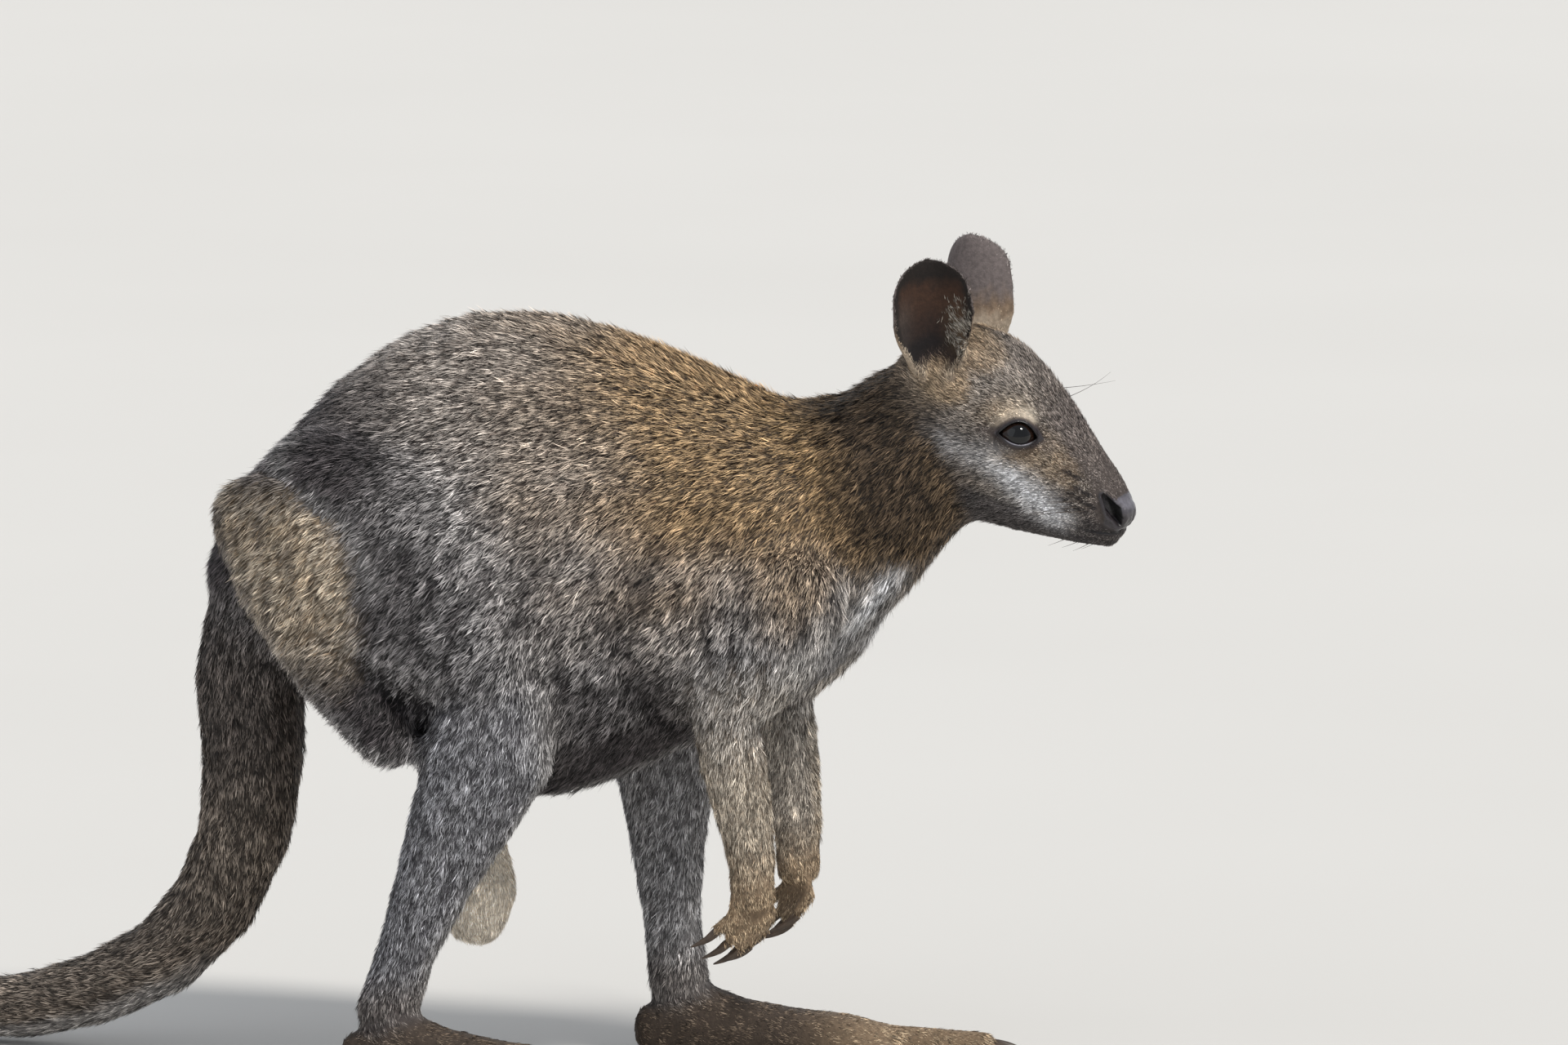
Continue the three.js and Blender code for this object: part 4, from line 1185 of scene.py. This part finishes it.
# ---- materials
class Paint:
    """A Principled material and the nodes added to it."""

    def __init__(self, name, **values):
        self.material = bpy.data.materials.new(name)
        self.material.use_nodes = True
        self.tree = self.material.node_tree
        self.shader = self.tree.nodes["Principled BSDF"]
        for socket, value in values.items():
            self.shader.inputs[socket.replace("_", " ")].default_value = value

    def node(self, kind, links=None, **values):
        made = self.tree.nodes.new("ShaderNode" + kind)
        for key, value in values.items():
            setattr(made, key, value)
        for socket, source in (links or {}).items():
            if isinstance(source, bpy.types.NodeSocket):
                self.tree.links.new(source, made.inputs[socket])
            else:
                made.inputs[socket].default_value = source
        return made

    def link(self, source, socket):
        self.tree.links.new(source, self.shader.inputs[socket])

    def noise(self, scale, detail=3.0):
        where = self.node("TexCoord")
        return self.node("TexNoise", {"Vector": where.outputs["Object"], "Scale": scale, "Detail": detail})

    def tinted(self, scale, low, high):
        """The mesh's own tint as its colour, times a noise that runs from low to high."""
        tint = self.node("Attribute", attribute_name="tint")
        span = self.node("MapRange", {"Value": self.noise(scale).outputs["Fac"], "From Min": 0.3,
                                      "From Max": 0.7, "To Min": low, "To Max": high})
        mixed = self.node("VectorMath", {0: tint.outputs["Color"], 1: span.outputs["Result"]},
                          operation="MULTIPLY")
        self.link(mixed.outputs["Vector"], "Base Color")

    def mottled(self, scale, low, high):
        """A noise that runs between two colours."""
        span = self.node("ValToRGB", {"Fac": self.noise(scale).outputs["Fac"]})
        for element, colour in zip(span.color_ramp.elements, (low, high)):
            element.color = (*colour, 1)
        self.link(span.outputs["Color"], "Base Color")


def skin_paint():
    skin = Paint("skin_paint", Specular_IOR_Level=0.45)
    skin.tinted(420.0, 0.75, 1.2)
    bare = skin.node("Attribute", attribute_name="bare").outputs["Fac"]
    rough = skin.node("MapRange", {"Value": bare, "To Min": 0.85, "To Max": 0.27})
    skin.link(rough.outputs["Result"], "Roughness")
    grain = skin.noise(900.0, 2.0).outputs["Fac"]
    raised = skin.node("Bump", {"Height": grain, "Strength": 0.45, "Distance": 0.0006})
    skin.link(raised.outputs["Normal"], "Normal")
    return skin.material


def coat_paint():
    coat = Paint("coat_paint", Roughness=0.58, Specular_IOR_Level=0.28)
    coat.tinted(160.0, 0.86, 1.14)
    return coat.material


def eye_paint():
    eye = Paint("eye_paint", Roughness=0.05, Specular_IOR_Level=0.5)
    eye.tinted(700.0, 0.85, 1.15)
    return eye.material


def horn_paint():
    horn = Paint("horn_paint", Roughness=0.38, Specular_IOR_Level=0.45)
    horn.mottled(260.0, linear(34, 27, 24), linear(92, 76, 62))
    return horn.material


def whisker_paint():
    hair = Paint("whisker_paint", Roughness=0.45)
    hair.mottled(90.0, linear(30, 25, 22), linear(84, 72, 62))
    return hair.material


def floor_paint():
    floor = Paint("floor_paint", Roughness=0.9, Specular_IOR_Level=0.2)
    floor.mottled(1.3, (0.60, 0.585, 0.56), (0.64, 0.625, 0.60))
    return floor.material


# ---- floor, light and camera
def camera_axes():
    a, e = math.radians(CAMERA_AZIMUTH), math.radians(CAMERA_ELEVATION)
    right = np.array([math.cos(a), math.sin(a), 0])
    back = np.array([math.sin(a) * math.cos(e), -math.cos(a) * math.cos(e), math.sin(e)])
    return np.array([right, np.cross(back, right), back])


def make_floor():
    corners = [2 * math.pi * i / FLOOR_SIDES for i in range(FLOOR_SIDES)]
    rim = [(FLOOR_RADIUS * math.cos(a), FLOOR_RADIUS * math.sin(a), 0) for a in corners]
    floor = new_object("floor", mesh_from("floor", rim, [list(range(FLOOR_SIDES))]))
    floor.data.materials.append(floor_paint())


def sun(name, way, strength, softness, tone):
    """A distant soft light that shines along -way."""
    data = bpy.data.lights.new(name, "SUN")
    data.energy = strength
    data.angle = math.radians(softness)
    data.color = tone
    thing = new_object(name, data)
    thing.rotation_mode = "QUATERNION"
    thing.rotation_quaternion = Vector(way).to_track_quat("Z", "Y")


def make_light():
    right, _, back = camera_axes()
    axes = np.array([right, unit(back * (1, 1, 0)), (0, 0, 1)])
    for name, (way, strength, softness, tone) in SUNS.items():
        sun(name, unit(way @ axes), strength, softness, tone)
    world = bpy.data.worlds.new("world")
    bpy.context.scene.world = world
    world.use_nodes = True
    sky = world.node_tree.nodes["Background"]
    sky.inputs["Color"].default_value = SKY_COLOUR
    sky.inputs["Strength"].default_value = SKY_STRENGTH


def make_camera():
    axes = camera_axes()
    target = (PICTURE_CENTRE @ axes + BODY_ORIGIN) / 1000
    data = bpy.data.cameras.new("camera")
    data.sensor_width = SENSOR_WIDTH
    data.lens = SENSOR_WIDTH * CAMERA_DISTANCE / PICTURE_WIDTH
    data.clip_start, data.clip_end = 0.5, 200.0
    camera = new_object("camera", data)
    camera.location = target + CAMERA_DISTANCE * axes[2]
    camera.rotation_mode = "QUATERNION"
    camera.rotation_quaternion = Vector(-axes[2]).to_track_quat("-Z", "Y")
    bpy.context.scene.camera = camera
    bpy.context.scene.view_settings.view_transform = "Standard"


# ---- the whole
def place_piece(piece, material):
    piece.data.materials.append(material)
    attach(piece, "root")


def dress_skin(skin, points, normals, weights):
    unwrap(skin)
    colours, bare = markings(points, normals, weights)
    paint(skin.data, 0.35 * colours[:, 6:9] + 0.65 * colours[:, 3:6])
    for side in SIDES:
        bare = bare * (1 - 0.9 * nostril_depth(in_head(points), side)[0])
    marks = skin.data.attributes.new("bare", "FLOAT", "POINT")
    marks.data.foreach_set("value", bare.astype(np.float32))
    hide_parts(*flesh_nodes())
    place_piece(skin, skin_paint())


def dress():
    skin, points, triangles, normals, weights = make_skin()
    dress_skin(skin, points, normals, weights)

    fur = coat_paint()
    for piece in coat_objects(*make_coat(points, triangles, normals, weights, corner_places(skin.data))):
        place_piece(piece, fur)

    wet = eye_paint()
    for side in SIDES:
        place_piece(eyeball(side), wet)

    horn = horn_paint()
    for limb in ("hand", "foot"):
        nodes = [n for n in sorted(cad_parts) if n.startswith("claw_" + limb)]
        place_piece(claw_set("claws_" + limb, nodes), horn)

    place_piece(whiskers(points, weights), whisker_paint())


dress()
make_floor()
make_light()
make_camera()
